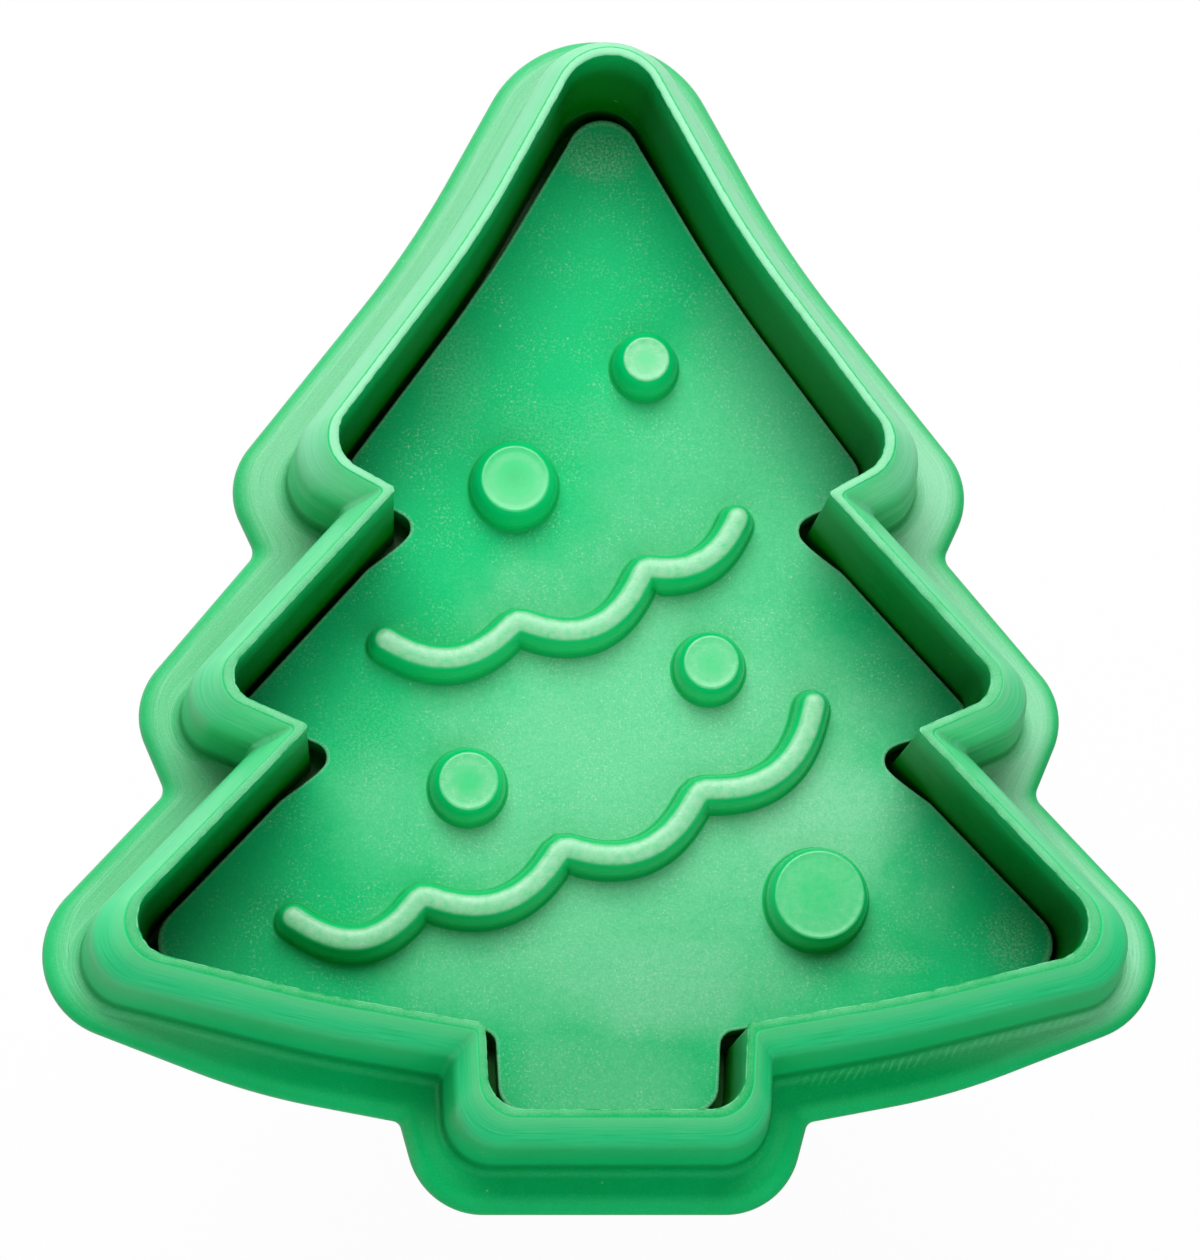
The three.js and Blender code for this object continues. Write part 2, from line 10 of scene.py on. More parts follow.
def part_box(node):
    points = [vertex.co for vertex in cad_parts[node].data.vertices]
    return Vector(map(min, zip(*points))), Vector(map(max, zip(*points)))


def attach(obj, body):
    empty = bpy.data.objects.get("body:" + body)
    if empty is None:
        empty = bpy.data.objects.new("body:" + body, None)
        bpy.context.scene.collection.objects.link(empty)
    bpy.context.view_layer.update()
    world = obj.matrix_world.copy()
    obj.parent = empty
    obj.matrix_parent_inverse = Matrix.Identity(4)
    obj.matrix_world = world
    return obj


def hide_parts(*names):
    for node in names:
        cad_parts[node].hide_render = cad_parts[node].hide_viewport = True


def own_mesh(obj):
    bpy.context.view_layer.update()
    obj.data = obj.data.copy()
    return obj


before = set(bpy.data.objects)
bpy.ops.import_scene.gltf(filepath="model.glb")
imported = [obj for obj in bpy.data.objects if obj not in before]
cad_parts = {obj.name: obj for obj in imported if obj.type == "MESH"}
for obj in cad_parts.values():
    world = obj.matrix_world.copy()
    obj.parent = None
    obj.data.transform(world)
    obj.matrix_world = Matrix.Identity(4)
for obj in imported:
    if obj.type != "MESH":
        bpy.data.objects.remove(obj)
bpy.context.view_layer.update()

# Cutter body: one moulding in green polypropylene, with a tree-shaped cutting wall on a wide flange, a deck
# behind the wall and a tower that guides the plunger. The cutting edge is a narrow land with a bevel outside
# it; its inner edge is rubbed pale and a little ragged from use.

MM = 0.001

# Corners of the cutting edge from the apex down the right side, in millimetres: place, radius, how far out
# the flange's corner lies, the flange's radius there, the stamp plate's radius, and the steps in the round.
TREE_APEX = ((0.0, 35.30), 2.90, (0.0, 9.80), 7.40, 2.20, 40)
TREE_SIDE = (
    ((7.60, 21.00), 60.0, (3.90, 2.50), 60.0, 60.0, 24),
    ((16.90, 8.15), 2.20, (5.85, 0.65), 4.30, 2.00, 30),
    ((12.50, 5.70), 0.25, (8.20, -1.30), 0.90, 0.90, 12),
    ((22.80, -5.85), 1.60, (5.34, 1.16), 4.30, 1.00, 30),
    ((17.40, -8.20), 0.25, (8.45, -1.85), 0.90, 0.90, 12),
    ((29.00, -20.55), 2.20, (7.57, -1.15), 5.00, 2.10, 32),
    ((16.70, -23.60), 60.0, (3.80, -4.30), 40.0, 60.0, 20),
    ((7.45, -25.20), 0.40, (4.55, -4.30), 0.60, 0.90, 10),
    ((7.20, -30.05), 2.00, (3.30, -4.85), 4.50, 1.60, 22),
)
# How much of a move outwards is added to the radius of the apex and of the other tips
APEX_SOFTENING, TIP_SOFTENING = 1.0, 0.4
EDGE_STEP = 0.35
ROUNDS_SHARE = 0.98


def unit(vector):
    return vector / np.linalg.norm(vector)


def turn(a, b):
    return a[0] * b[1] - a[1] * b[0]


def swing(centre, start, angles):
    """A point turned about a centre by each of the angles."""
    spoke = start - centre
    xs = spoke[0] * np.cos(angles) - spoke[1] * np.sin(angles)
    ys = spoke[0] * np.sin(angles) + spoke[1] * np.cos(angles)
    return centre + np.stack((xs, ys), axis=1)


def tree_corners(part):
    """Corners of the tree, counter-clockwise from the apex: place, radius, softening and steps."""
    def corner(row, side, softening):
        (x, y), radius, (out_x, out_y), flange_radius, plate_radius, steps = row
        if part == "flange":
            return np.array((side * (x + out_x), y + out_y)), flange_radius, softening, steps
        if part == "plate":
            return np.array((side * x, y)), plate_radius, 0.0, steps
        return np.array((side * x, y)), radius, softening, steps

    left = [corner(row, -1, TIP_SOFTENING) for row in TREE_SIDE]
    right = [corner(row, 1, TIP_SOFTENING) for row in reversed(TREE_SIDE)]
    return [corner(TREE_APEX, 1, APEX_SOFTENING), *left, *right]


wall_corners = [place for place, *_ in tree_corners("wall")]
EDGE_STEPS = [
    max(2, round(np.linalg.norm(after - before) / EDGE_STEP))
    for before, after in zip(wall_corners, wall_corners[1:] + wall_corners[:1])
]


def outline(reach, part="wall"):
    """The tree's outline moved outwards by reach, as a closed loop; every loop has the same count of points."""
    corners = tree_corners(part)
    count = len(corners)
    moved = []
    for i, (place, radius, softening, steps) in enumerate(corners):
        into = unit(place - corners[i - 1][0])
        out = unit(corners[(i + 1) % count][0] - place)
        normal_in = np.array((into[1], -into[0]))
        normal_out = np.array((out[1], -out[0]))
        shift = (normal_in + normal_out) * reach / (1 + normal_in @ normal_out)
        is_tip = turn(into, out) > 0
        radius = radius + softening * reach if is_tip else radius
        moved.append((place + shift, radius, steps))
    edges = [moved[(i + 1) % count][0] - moved[i][0] for i in range(count)]
    lengths = [np.linalg.norm(edge) for edge in edges]
    bends = [math.atan2(turn(edges[i - 1], edges[i]), edges[i - 1] @ edges[i]) for i in range(count)]
    tangents = [moved[i][1] * math.tan(abs(bends[i]) / 2) for i in range(count)]
    arcs = []
    for i, (place, radius, steps) in enumerate(moved):
        before = ROUNDS_SHARE * lengths[i - 1] / (tangents[i - 1] + tangents[i])
        after = ROUNDS_SHARE * lengths[i] / (tangents[i] + tangents[(i + 1) % count])
        room = min(1.0, before, after)
        into = edges[i - 1] / lengths[i - 1]
        start = place - into * tangents[i] * room
        centre = start + np.array((-into[1], into[0])) * radius * room * np.sign(bends[i])
        arcs.append(swing(centre, start, bends[i] * np.arange(steps + 1) / steps))
    points = []
    for i, arc in enumerate(arcs):
        target = arcs[(i + 1) % count][0]
        shares = np.arange(1, EDGE_STEPS[i])[:, None] / EDGE_STEPS[i]
        points += [arc, arc[-1] + (target - arc[-1]) * shares]
    return np.concatenate(points)


flange_edge = outline(0, "flange")
TREE_SHIFT = -(flange_edge[:, 1].max() + flange_edge[:, 1].min()) / 2
stem_low, stem_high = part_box("plunger_stem")
AXIS_Y = (stem_low[1] + stem_high[1]) / 2 / MM


def circle(radius, steps=128):
    """A circle about the plunger's axis."""
    angles = math.tau * np.arange(steps) / steps
    return np.stack((radius * np.cos(angles), AXIS_Y + radius * np.sin(angles)), axis=1)


def arc_points(centre, radius, start, end, steps):
    """Points (across, height) of a round in a section, between two angles in degrees."""
    angles = np.radians(np.linspace(start, end, steps + 1))
    return [(centre[0] + radius * math.cos(a), centre[1] + radius * math.sin(a)) for a in angles]


SMOOTH_BELOW = 32


def shade_smooth(mesh):
    """Smooth shading, with sharp edges above an angle."""
    mesh.polygons.foreach_set("use_smooth", [True] * len(mesh.polygons))
    mesh.set_sharp_from_angle(angle=math.radians(SMOOTH_BELOW))


def show(name, data):
    """A new object in the scene with this mesh, lamp or camera."""
    shown = bpy.data.objects.new(name, data)
    bpy.context.scene.collection.objects.link(shown)
    return shown


class Shell:
    """Rings of points in millimetres, skinned into one piece; marks are numbers kept at each point."""

    def __init__(self, *marks):
        self.points = []
        self.faces = []
        self.finishes = []
        self.finish = 0
        self.marks = {name: [] for name in marks}

    def ring(self, loop, height, **marks):
        first = len(self.points)
        heights = np.broadcast_to(height, len(loop))
        self.points += [(x, y, z) for (x, y), z in zip(loop, heights)]
        for name, values in self.marks.items():
            values += list(np.broadcast_to(marks.get(name, 0.0), len(loop)))
        return list(range(first, first + len(loop)))

    def add(self, faces):
        self.faces += faces
        self.finishes += [self.finish] * len(faces)

    def skins(self, rings):
        """Faces between each ring and the next."""
        for lower, upper in zip(rings, rings[1:]):
            count = len(lower)
            after = range(1, count + 1)
            self.add([(lower[j - 1], lower[j % count], upper[j % count], upper[j - 1]) for j in after])

    def turned(self, section):
        """Rings about the plunger's axis, one for each radius and height."""
        return [self.ring(circle(radius), height) for radius, height in section]

    def solid(self, rings):
        """Skins rings and closes both ends."""
        self.skins(rings)
        self.fill(rings[0])
        self.fill(rings[-1])

    def fill(self, *loops):
        """Closes a flat outline, less the holes inside it."""
        flat = [i for loop in loops for i in loop]
        polygon = [[Vector(self.points[i]) for i in loop] for loop in loops]
        self.add([tuple(flat[k] for k in triangle) for triangle in tessellate_polygon(polygon)])

    def piece(self, name, *materials):
        """The piece as an object at the origin, with its faces turned outwards."""
        mesh = bpy.data.meshes.new(name)
        mesh.from_pydata([tuple(c * MM for c in point) for point in self.points], [], self.faces)
        for mark, values in self.marks.items():
            mesh.attributes.new(mark, "FLOAT", "POINT").data.foreach_set("value", np.array(values, np.float32))
        for material in materials:
            mesh.materials.append(material)
        mesh.polygons.foreach_set("material_index", self.finishes)
        work = bmesh.new()
        work.from_mesh(mesh)
        bmesh.ops.remove_doubles(work, verts=work.verts, dist=1e-7)
        bmesh.ops.recalc_face_normals(work, faces=work.faces)
        work.to_mesh(mesh)
        work.free()
        shade_smooth(mesh)
        return show(name, mesh)


class Socket:
    """An output in a node tree; arithmetic with it adds Math nodes."""

    def __init__(self, nodes, output):
        self.nodes = nodes
        self.output = output

    def also(self, name):
        return Socket(self.nodes, self.output.node.outputs[name])

    def math(self, operation, *values):
        return self.nodes.add("ShaderNodeMath", dict(enumerate(values)), operation=operation)

    def __add__(self, other):
        return self.math("ADD", self, other)

    def __sub__(self, other):
        return self.math("SUBTRACT", self, other)

    def __mul__(self, other):
        return self.math("MULTIPLY", self, other)

    def __truediv__(self, other):
        return self.math("DIVIDE", self, other)

    def __rsub__(self, other):
        return self.math("SUBTRACT", other, self)

    def over(self, other):
        """The larger of the two."""
        return self.math("MAXIMUM", self, other)

    __radd__ = __add__
    __rmul__ = __mul__


class Nodes:
    """A node tree that is built call by call."""

    def __init__(self, tree):
        self.tree = tree
        tree.nodes.clear()

    def add(self, kind, inputs=None, output=0, **settings):
        node = self.tree.nodes.new(kind)
        for name, value in settings.items():
            setattr(node, name, value)
        for name, value in (inputs or {}).items():
            if isinstance(value, Socket):
                self.tree.links.new(value.output, node.inputs[name])
            else:
                node.inputs[name].default_value = value
        return Socket(self, node.outputs[output]) if len(node.outputs) else None

    def mark(self, name):
        """A number that the mesh keeps at each point."""
        return self.add("ShaderNodeAttribute", output="Fac", attribute_name=name)

    def east_north(self, where):
        """The X and the Y of a place."""
        split = self.add("ShaderNodeSeparateXYZ", {"Vector": where})
        return split, split.also("Y")

    def blend(self, factor, low, high):
        """A colour between two."""
        return self.add("ShaderNodeMix", {0: factor, 6: low, 7: high}, output=2, data_type="RGBA")

    def coat(self, factor, tint):
        """Lays a colour over the finish so far."""
        self.base = self.blend(factor, self.base, tint)

    def rise(self, value, low, high):
        """0 below low, 1 above high and smooth between."""
        inputs = {"Value": value, "From Min": low, "From Max": high}
        return self.add("ShaderNodeMapRange", inputs, interpolation_type="SMOOTHSTEP")

    def band(self, value, low, high, soft):
        """1 between low and high, 0 outside."""
        return self.rise(value, low - soft, low + soft) * (1 - self.rise(value, high - soft, high + soft))

    def grain(self, where, per_mm, detail=2.0, rough=0.5, offset=0.0):
        """Noise from 0 to 1 with about that many lumps in a millimetre; offset picks another sample."""
        inputs = {"Vector": where, "W": offset, "Scale": per_mm / MM, "Detail": detail, "Roughness": rough}
        return self.add("ShaderNodeTexNoise", inputs, noise_dimensions="4D")

    def specks(self, where, per_mm, share, size):
        """Dots of mixed sizes in a share of the cells of a grid."""
        cells = self.add("ShaderNodeTexVoronoi", {"Vector": where, "Scale": per_mm / MM})
        chance = self.add("ShaderNodeSeparateColor", {"Color": cells.also("Color")})
        reach = chance.also("Green") * size
        inside = self.rise(reach - cells, 0.0, 0.3 * size)
        return inside * self.rise(chance, 1 - share, 1 - share + 0.01)


PLASTIC_IOR = 1.49


def colour(red, green, blue):
    return (red, green, blue, 1.0)


def new_finish(name):
    """A new material's nodes, the place on the piece that they read, and the material."""
    material = bpy.data.materials.new(name)
    material.use_nodes = True
    nodes = Nodes(material.node_tree)
    return nodes, nodes.add("ShaderNodeTexCoord", output="Object"), material


def close_finish(nodes, roughness, height, **constants):
    """Joins a finish to its shader; height is the surface's relief in metres."""
    normal = nodes.add("ShaderNodeBump", {"Strength": 1.0, "Distance": 1.0, "Height": height})
    inputs = {"Base Color": nodes.base, "Roughness": roughness, "Normal": normal, "IOR": PLASTIC_IOR}
    inputs.update({name.replace("_", " "): value for name, value in constants.items()})
    shader = nodes.add("ShaderNodeBsdfPrincipled", inputs)
    nodes.add("ShaderNodeOutputMaterial", {"Surface": shader})


DEEP_GREEN = colour(0.0, 0.51, 0.142)
SHADE_GREEN = colour(0.0, 0.46, 0.118)
# Pale green for wear on the land; on the upper tiers it also paints the land's sheen
RUBBED_AND_SHEEN_GREEN = colour(0.34, 0.76, 0.48)
# Painted shade for the inner wall: darker deep down, lighter at its top
INNER_DEEP_SHADE = colour(0.0, 0.175, 0.004)
INNER_UPPER_SHADE = colour(0.0, 0.44, 0.11)
INNER_STREAK = colour(0.10, 0.52, 0.26)
# Painted light: the bevel's green is brighter than the plastic, standing in for light through the thin edge; it
# also tints fine flecks all over
BEVEL_GREEN = colour(0.02, 0.70, 0.25)
CREST_GREEN = colour(0.12, 0.74, 0.30)
# Painted shade, for the corner at the wall's foot and the land on the lower tiers
PAINTED_SHADE_GREEN = colour(0.0, 0.20, 0.035)
# A pale painted sheen, for the bevel on the upper tiers and the highlight streaks on the wall
PAINTED_SHEEN_PALE = colour(0.34, 0.74, 0.48)
# A pale green for painted sheen on the flange, broken up by smudges
SHEEN_AND_SMUDGE_GREEN = colour(0.34, 0.68, 0.46)
DUST = colour(0.36, 0.60, 0.42)
CHATTER_PITCH = 0.40
CHATTER_SLANT = (0.87, -0.50)
STREAK_STRETCH = 0.05
BODY_SPECULAR = 0.25


def body_finish():
    """Satin polypropylene: flow marks, streaks along the edge, a rubbed land, dust, and painted shade, sheen
    and highlights.
    """
    nodes, where, material = new_finish("body_green")
    grain, rise, band, coat = nodes.grain, nodes.rise, nodes.band, nodes.coat
    across, along = nodes.mark("across"), nodes.mark("along")
    east, north = nodes.east_north(where)
    # Noise along the edge and all over, smears, dust and lint
    run = nodes.add("ShaderNodeCombineXYZ", {"X": across * MM, "Y": along * (STREAK_STRETCH * MM)})
    lines = grain(run, 4.0, detail=2, offset=1)
    brush = grain(run, 1.1, detail=4, rough=0.6, offset=7)
    clouds = grain(where, 0.12, detail=3)
    flow = grain(where, 1.1, detail=4, offset=3)
    fine = grain(where, 9.0, detail=3, offset=5)
    smear = grain(where, 0.30, detail=5, rough=0.65, offset=across * 0.3)
    dust = nodes.specks(where, 1.1, 0.10, 0.16)
    lint = nodes.specks(where, 0.45, 0.12, 0.10)
    # Zones, in millimetres along the section from the land's inner edge
    inner = 1 - rise(across, -0.7, 0.0)
    depth = 1 - rise(across, -4.2, -0.15)
    bevel = rise(across, 0.45, 0.65) * (1 - rise(across, 2.4, 5.4))
    wall = band(across, 0.5, 10.0, 0.3)
    flange = band(across, 11.4, 17.0, 0.6)
    deck = 1 - rise(across, -14.0, -13.0)
    groove = band(across, 0.46, 0.55, 0.03)
    land = band(across + (grain(where, 3.0, detail=4, offset=11) - 0.5) * 0.12, -0.01, 0.44, 0.03)
    foot = band(across, 9.6, 11.4, 0.7)
    # Zones on the tree: the right side, and the upper tiers, where painted sheen and wear make the edge paler
    right = rise(east, 8 * MM, 24 * MM)
    upper = 0.22 * rise(north, -22 * MM, -15 * MM) + 0.40 * rise(north, -2 * MM, 12 * MM)
    # The plastic, and painted shade on the inner wall, darker the deeper it goes
    nodes.base = nodes.blend(rise(clouds * 0.7 + flow * 0.3, 0.35, 0.65), SHADE_GREEN, DEEP_GREEN)
    hair = rise(grain(run, 2.4, detail=2, offset=19), 0.64, 0.69)
    wiped = (1 - depth) * rise(brush, 0.50, 0.66)
    coat(inner, nodes.blend(depth, INNER_UPPER_SHADE, INNER_DEEP_SHADE))
    coat(inner * (hair * 0.24 + wiped * 0.4), INNER_STREAK)
    # The bevel, painted brighter to stand in for light through the thin plastic, scored along the edge, with a
    # painted reflection on the upper tiers, its top painted lighter below them, and painted shade at the wall's
    # foot
    coat(bevel * (0.75 + 0.3 * brush), BEVEL_GREEN)
    scored = grain(run, 6.5, detail=3, offset=23)
    coat(bevel * (1 - rise(scored, 0.36, 0.48)) * 0.45, SHADE_GREEN)
    coat(bevel * rise(scored, 0.53, 0.66) * 0.45, CREST_GREEN)
    coat(bevel * upper * (0.5 + 0.6 * lines + 0.4 * brush), PAINTED_SHEEN_PALE)
    lit_crest = bevel * (1 - rise(across, 0.6, 2.6)) * (0.30 + 0.5 * brush)
    coat(lit_crest * (1.6 - upper), CREST_GREEN)
    coat(foot * 0.85, PAINTED_SHADE_GREEN)
    coat((1 - inner) * rise(fine, 0.44, 0.74) * 0.30, BEVEL_GREEN)
    # Painted highlight streaks on the wall, and painted sheen broken by smudges on the flange, left off at the
    # bottom where the wall shades it
    highlight_streak = wall * rise(lines * 0.4 + brush * 0.6, 0.50, 0.60) * (0.12 + 0.24 * right)
    coat(highlight_streak * rise(north, -24 * MM, -18 * MM), PAINTED_SHEEN_PALE)
    smudge = rise(brush * 0.12 + smear * 0.88, 0.42, 0.58)
    sheen_and_smudge = 0.16 + 0.42 * right + 0.22 * rise(north, 0.0, 14 * MM) + 0.70 * smudge
    sheen_and_smudge = sheen_and_smudge * flange * rise(north, -28 * MM, -22 * MM)
    coat(sheen_and_smudge * (0.55 + 0.4 * fine), SHEEN_AND_SMUDGE_GREEN)
    # The land, painted darker as shade on the lower tiers and paler on the upper tiers for wear and painted
    # sheen, its rubbed inner edge, and painted shade in the groove behind it on the upper tiers
    coat(land * (0.40 - 0.64 * upper), PAINTED_SHADE_GREEN)
    wear_and_painted_light = 0.20 * rise(clouds * 0.4 + flow * 0.3 + fine * 0.3, 0.36, 0.62) + 1.1 * upper
    coat(land * wear_and_painted_light, RUBBED_AND_SHEEN_GREEN)
    inner_edge = band(across, -0.04, 0.07, 0.03) * rise(flow, 0.40, 0.56)
    coat(inner_edge * 0.5, RUBBED_AND_SHEEN_GREEN)
    coat(groove * upper * 0.8, SHADE_GREEN)
    # Dried residue, dust and lint
    residue = rise(grain(where, 2.4, detail=6, rough=0.7, offset=13), 0.58, 0.70)
    patch = rise(grain(where, 0.25, offset=17), 0.46, 0.60)
    residue = residue * patch * (flange + inner * (1 - depth))
    coat(residue * 0.16, DUST)
    coat(dust * 0.35 + lint * 0.55, DUST)
    # Slanting hatch marks from the mould on the right part of the flange
    slant = (east * CHATTER_SLANT[0] + north * CHATTER_SLANT[1]) / (CHATTER_PITCH * MM)
    slant = slant + grain(where, 0.5) * 1.2
    chatter = rise(slant.math("SINE", slant * math.tau), 0.2, 0.9) * rise(flow, 0.32, 0.52)
    chatter = chatter * band(across, 11.3, 12.9, 0.4) * band(east, 12 * MM, 29 * MM, 2 * MM)
    chatter = chatter * (1 - rise(north, -24 * MM, -22 * MM))
    coat(chatter * 0.30, CREST_GREEN)
    roughness = 0.27 + 0.08 * flow + 0.12 * sheen_and_smudge + 0.10 * land + 0.10 * residue
    roughness = roughness + 0.06 * wall * lines + 0.45 * deck
    height = 3e-6 * chatter + 2e-6 * flow + 0.5e-6 * fine + 0.7e-6 * lines * wall + 1.5e-6 * brush * flange
    height = height + 3e-6 * land * fine
    close_finish(nodes, roughness, height, Specular_IOR_Level=BODY_SPECULAR)
    return material


# The wall's section, up the inside, over the land and down the bevel: reach from the cutting edge, height
WALL_SECTION = (
    (-0.200, 41.70), (-0.165, 44.00), (-0.128, 46.50), (-0.090, 49.00), (-0.053, 51.50), (-0.023, 53.50),
    (-0.025, 54.45), (-0.050, 54.70), (-0.052, 54.82), (-0.025, 54.91), (0.035, 54.97), (0.120, 54.998),
    (0.280, 55.00), (0.390, 55.00), (0.430, 54.985), (0.455, 54.940), (0.500, 54.915), (0.535, 54.810),
    (0.850, 54.11), (1.150, 53.44), (1.400, 52.88), (1.500, 52.64), (1.590, 52.40), (1.670, 52.14),
    (1.735, 51.85), (1.785, 51.52), (1.825, 51.15), (1.860, 50.75), (2.000, 49.00), (2.150, 46.90),
    (2.240, 45.60),
)
# Which rings of that section are ragged, and which is the land's inner edge
RAGGED_RINGS, INNER_EDGE_RING = (7, 12), 9
RAGGED_DEPTH, RAGGED_FADE = 0.045, 1.4
CHIPS_PER_MM, CHIP_DEPTHS = 2.6, (-0.3, 1.2)
OUTWARD_STEP = 0.2
WALL_FOOT = arc_points((2.80, 44.70), 0.5, 180, 270, 5)
FLANGE_TOP, FLANGE_BOTTOM = 44.20, 41.80
FLANGE_EDGE, FLANGE_EDGE_STEPS = 1.10, 14
FLANGE_TRIM = 0.045
FLANGE_SHARES = (0.04, 0.12, 0.25, 0.4, 0.55, 0.7, 0.85, 0.95)
UNDERSIDE_SHARES = (0.3, 0.65, 1.0)
# Rough reach of the flange's top, edge and underside, for counting the marks across the section
FLANGE_WIDTH, FLANGE_REACH = 4.6, 8.5
UNDERSIDE_REACH, UNDERSIDE_WIDTH = 7.4, 5.8
TUB_EDGE = arc_points((1.00, 40.10), 0.6, 0, -90, 5)
BORE_RADIUS = 5.25
TOWER_MARK, BORE_MARK = 60.0, -20.0
# Radius and height of the guide tower, from the deck's back over its outside and up the bore
TOWER_SECTION = (
    *arc_points((10.20, 38.10), 1.4, 90, 180, 6), (8.80, 31.00), (8.80, 24.20),
    *arc_points((8.10, 24.20), 0.7, 0, -90, 5), *arc_points((7.70, 23.80), 0.3, -90, -180, 4),
    (7.40, 33.50), (4.25, 33.50), (4.25, 37.20), (5.25, 37.20), (5.25, 41.70),
)


def cutter_body():
    """The moulding, marked with the distance across its section and along the edge from the apex."""
    shell = Shell("across", "along")
    place = np.array((0.0, TREE_SHIFT))
    rings = []
    track = []

    def add(loop, reach, height):
        track.append((reach, height))
        rings.append((loop + place, height))

    base, outer = outline(0), outline(OUTWARD_STEP)
    first, last = RAGGED_RINGS
    for k, (reach, height) in enumerate(WALL_SECTION):
        loop = outline(reach)
        if first <= k < last:
            share = (last - k) / (last - first)
            spots = [Vector((x, y, 0.0)) * CHIPS_PER_MM for x, y in base]
            chips = np.array([noise.fractal(spot, 0.8, 2.0, 4) for spot in spots])
            chips = np.clip(chips, *CHIP_DEPTHS) * RAGGED_DEPTH * min(1.0, RAGGED_FADE * share)
            loop = loop + (outer - base) / OUTWARD_STEP * chips[:, None]
        add(loop, reach, height)
    for reach, height in WALL_FOOT:
        add(outline(reach), reach, height)
    foot, rim = outline(WALL_FOOT[-1][0]), outline(-FLANGE_EDGE - FLANGE_TRIM, "flange")
    for share in FLANGE_SHARES:
        add(foot + (rim - foot) * share, WALL_FOOT[-1][0] + share * FLANGE_WIDTH, FLANGE_TOP)
    middle, half = (FLANGE_TOP + FLANGE_BOTTOM) / 2, (FLANGE_TOP - FLANGE_BOTTOM) / 2
    for angle in np.radians(np.linspace(90, -90, FLANGE_EDGE_STEPS + 1)):
        reach = FLANGE_EDGE * (math.cos(angle) - 1)
        add(outline(reach - FLANGE_TRIM, "flange"), FLANGE_REACH + reach, middle + half * math.sin(angle))
    tub = outline(TUB_EDGE[0][0])
    for share in UNDERSIDE_SHARES:
        add(rim + (tub - rim) * share, UNDERSIDE_REACH - UNDERSIDE_WIDTH * share, FLANGE_BOTTOM)
    for reach, height in TUB_EDGE:
        add(outline(reach), reach, height)
    steps = np.linalg.norm(np.diff(np.array(track), axis=0), axis=1)
    across = np.concatenate(((0.0,), np.cumsum(steps)))
    across = across - across[INNER_EDGE_RING]
    gaps = np.linalg.norm(np.diff(base, axis=0, append=base[:1]), axis=1)
    along = np.cumsum(gaps) - gaps[:TREE_APEX[-1] // 2].sum()
    along = np.minimum(np.abs(along), gaps.sum() - along)
    made = [shell.ring(loop, height, across=a, along=along) for (loop, height), a in zip(rings, across)]
    shell.skins(made)
    tower = [
        shell.ring(circle(radius), height, across=TOWER_MARK if radius > BORE_RADIUS else BORE_MARK)
        for radius, height in TOWER_SECTION
    ]
    shell.skins(tower)
    shell.fill(made[-1], tower[0])
    shell.fill(made[0], tower[-1])
    return shell


body_green = body_finish()
body = cutter_body().piece("cutter_body_moulding", body_green)
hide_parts("cutter_body")
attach(body, "cutter")

# Tower ribs: four thin webs, moulded in one with the deck and the guide tower, that brace the tower on the
# deck. Each is the same curved web, set round the tower at equal angles.

RIB_COUNT = 4
RIB_ROOT, RIB_TOWER, RIB_END = 8.10, 8.80, 13.50
RIB_LOW, RIB_TIP, RIB_TOP = 28.50, 38.50, 40.20
RIB_THICKNESS = 1.6
RIB_EDGE = 0.25
RIB_BOW_STEPS = 12


def bend(a, b, c, steps=6):
    """A quadratic curve between a and c, pulled towards b."""
    start, pull, end = np.array(a), np.array(b), np.array(c)
    shares = np.linspace(0, 1, steps + 1)
    return [tuple(start * (1 - t) ** 2 + pull * 2 * t * (1 - t) + end * t * t) for t in shares]


def rib_web():
    """One rib as a closed plate in the plane y = 0, with softened edges."""
    bow = bend((RIB_TOWER, RIB_LOW), (RIB_TOWER + 1, RIB_TIP - 1), (RIB_END, RIB_TIP), RIB_BOW_STEPS)
    sketch = [(RIB_ROOT, RIB_LOW), *bow, (RIB_END, RIB_TOP), (RIB_ROOT, RIB_TOP)]
    work = bmesh.new()
    side = [work.verts.new((r * MM, -RIB_THICKNESS / 2 * MM, z * MM)) for r, z in sketch]
    face = work.faces.new(side)
    grown = bmesh.ops.extrude_face_region(work, geom=[face])
    moved = [v for v in grown["geom"] if isinstance(v, bmesh.types.BMVert)]
    bmesh.ops.translate(work, verts=moved, vec=(0, RIB_THICKNESS * MM, 0))
    bmesh.ops.recalc_face_normals(work, faces=work.faces)
    bmesh.ops.bevel(work, geom=list(work.edges), offset=RIB_EDGE * MM, segments=3, profile=0.5, affect="EDGES")
    mesh = bpy.data.meshes.new("rib_web")
    work.to_mesh(mesh)
    work.free()
    mesh.attributes.new("across", "FLOAT", "POINT").data.foreach_set("value", [TOWER_MARK] * len(mesh.vertices))
    return mesh


def node_group(name, **sizes):
    """A Geometry Nodes tree with named inputs, listed by kind; given(name) is one of them."""
    tree = bpy.data.node_groups.new(name, "GeometryNodeTree")
    nodes = Nodes(tree)
    tree.interface.new_socket("Geometry", in_out="INPUT", socket_type="NodeSocketGeometry")
    for kind, labels in sizes.items():
        for label in labels:
            tree.interface.new_socket(label, in_out="INPUT", socket_type="NodeSocket" + kind)
    tree.interface.new_socket("Geometry", in_out="OUTPUT", socket_type="NodeSocketGeometry")
    return nodes, nodes.add("NodeGroupInput").also


def close_group(nodes, given, geometry):
    """Joins a Geometry Nodes tree to its output, as one mesh in the given finish."""
    solid = nodes.add("GeometryNodeRealizeInstances", {"Geometry": geometry})
    dressed = nodes.add("GeometryNodeSetMaterial", {"Geometry": solid, "Material": given("Finish")})
    nodes.add("NodeGroupOutput", {"Geometry": dressed})


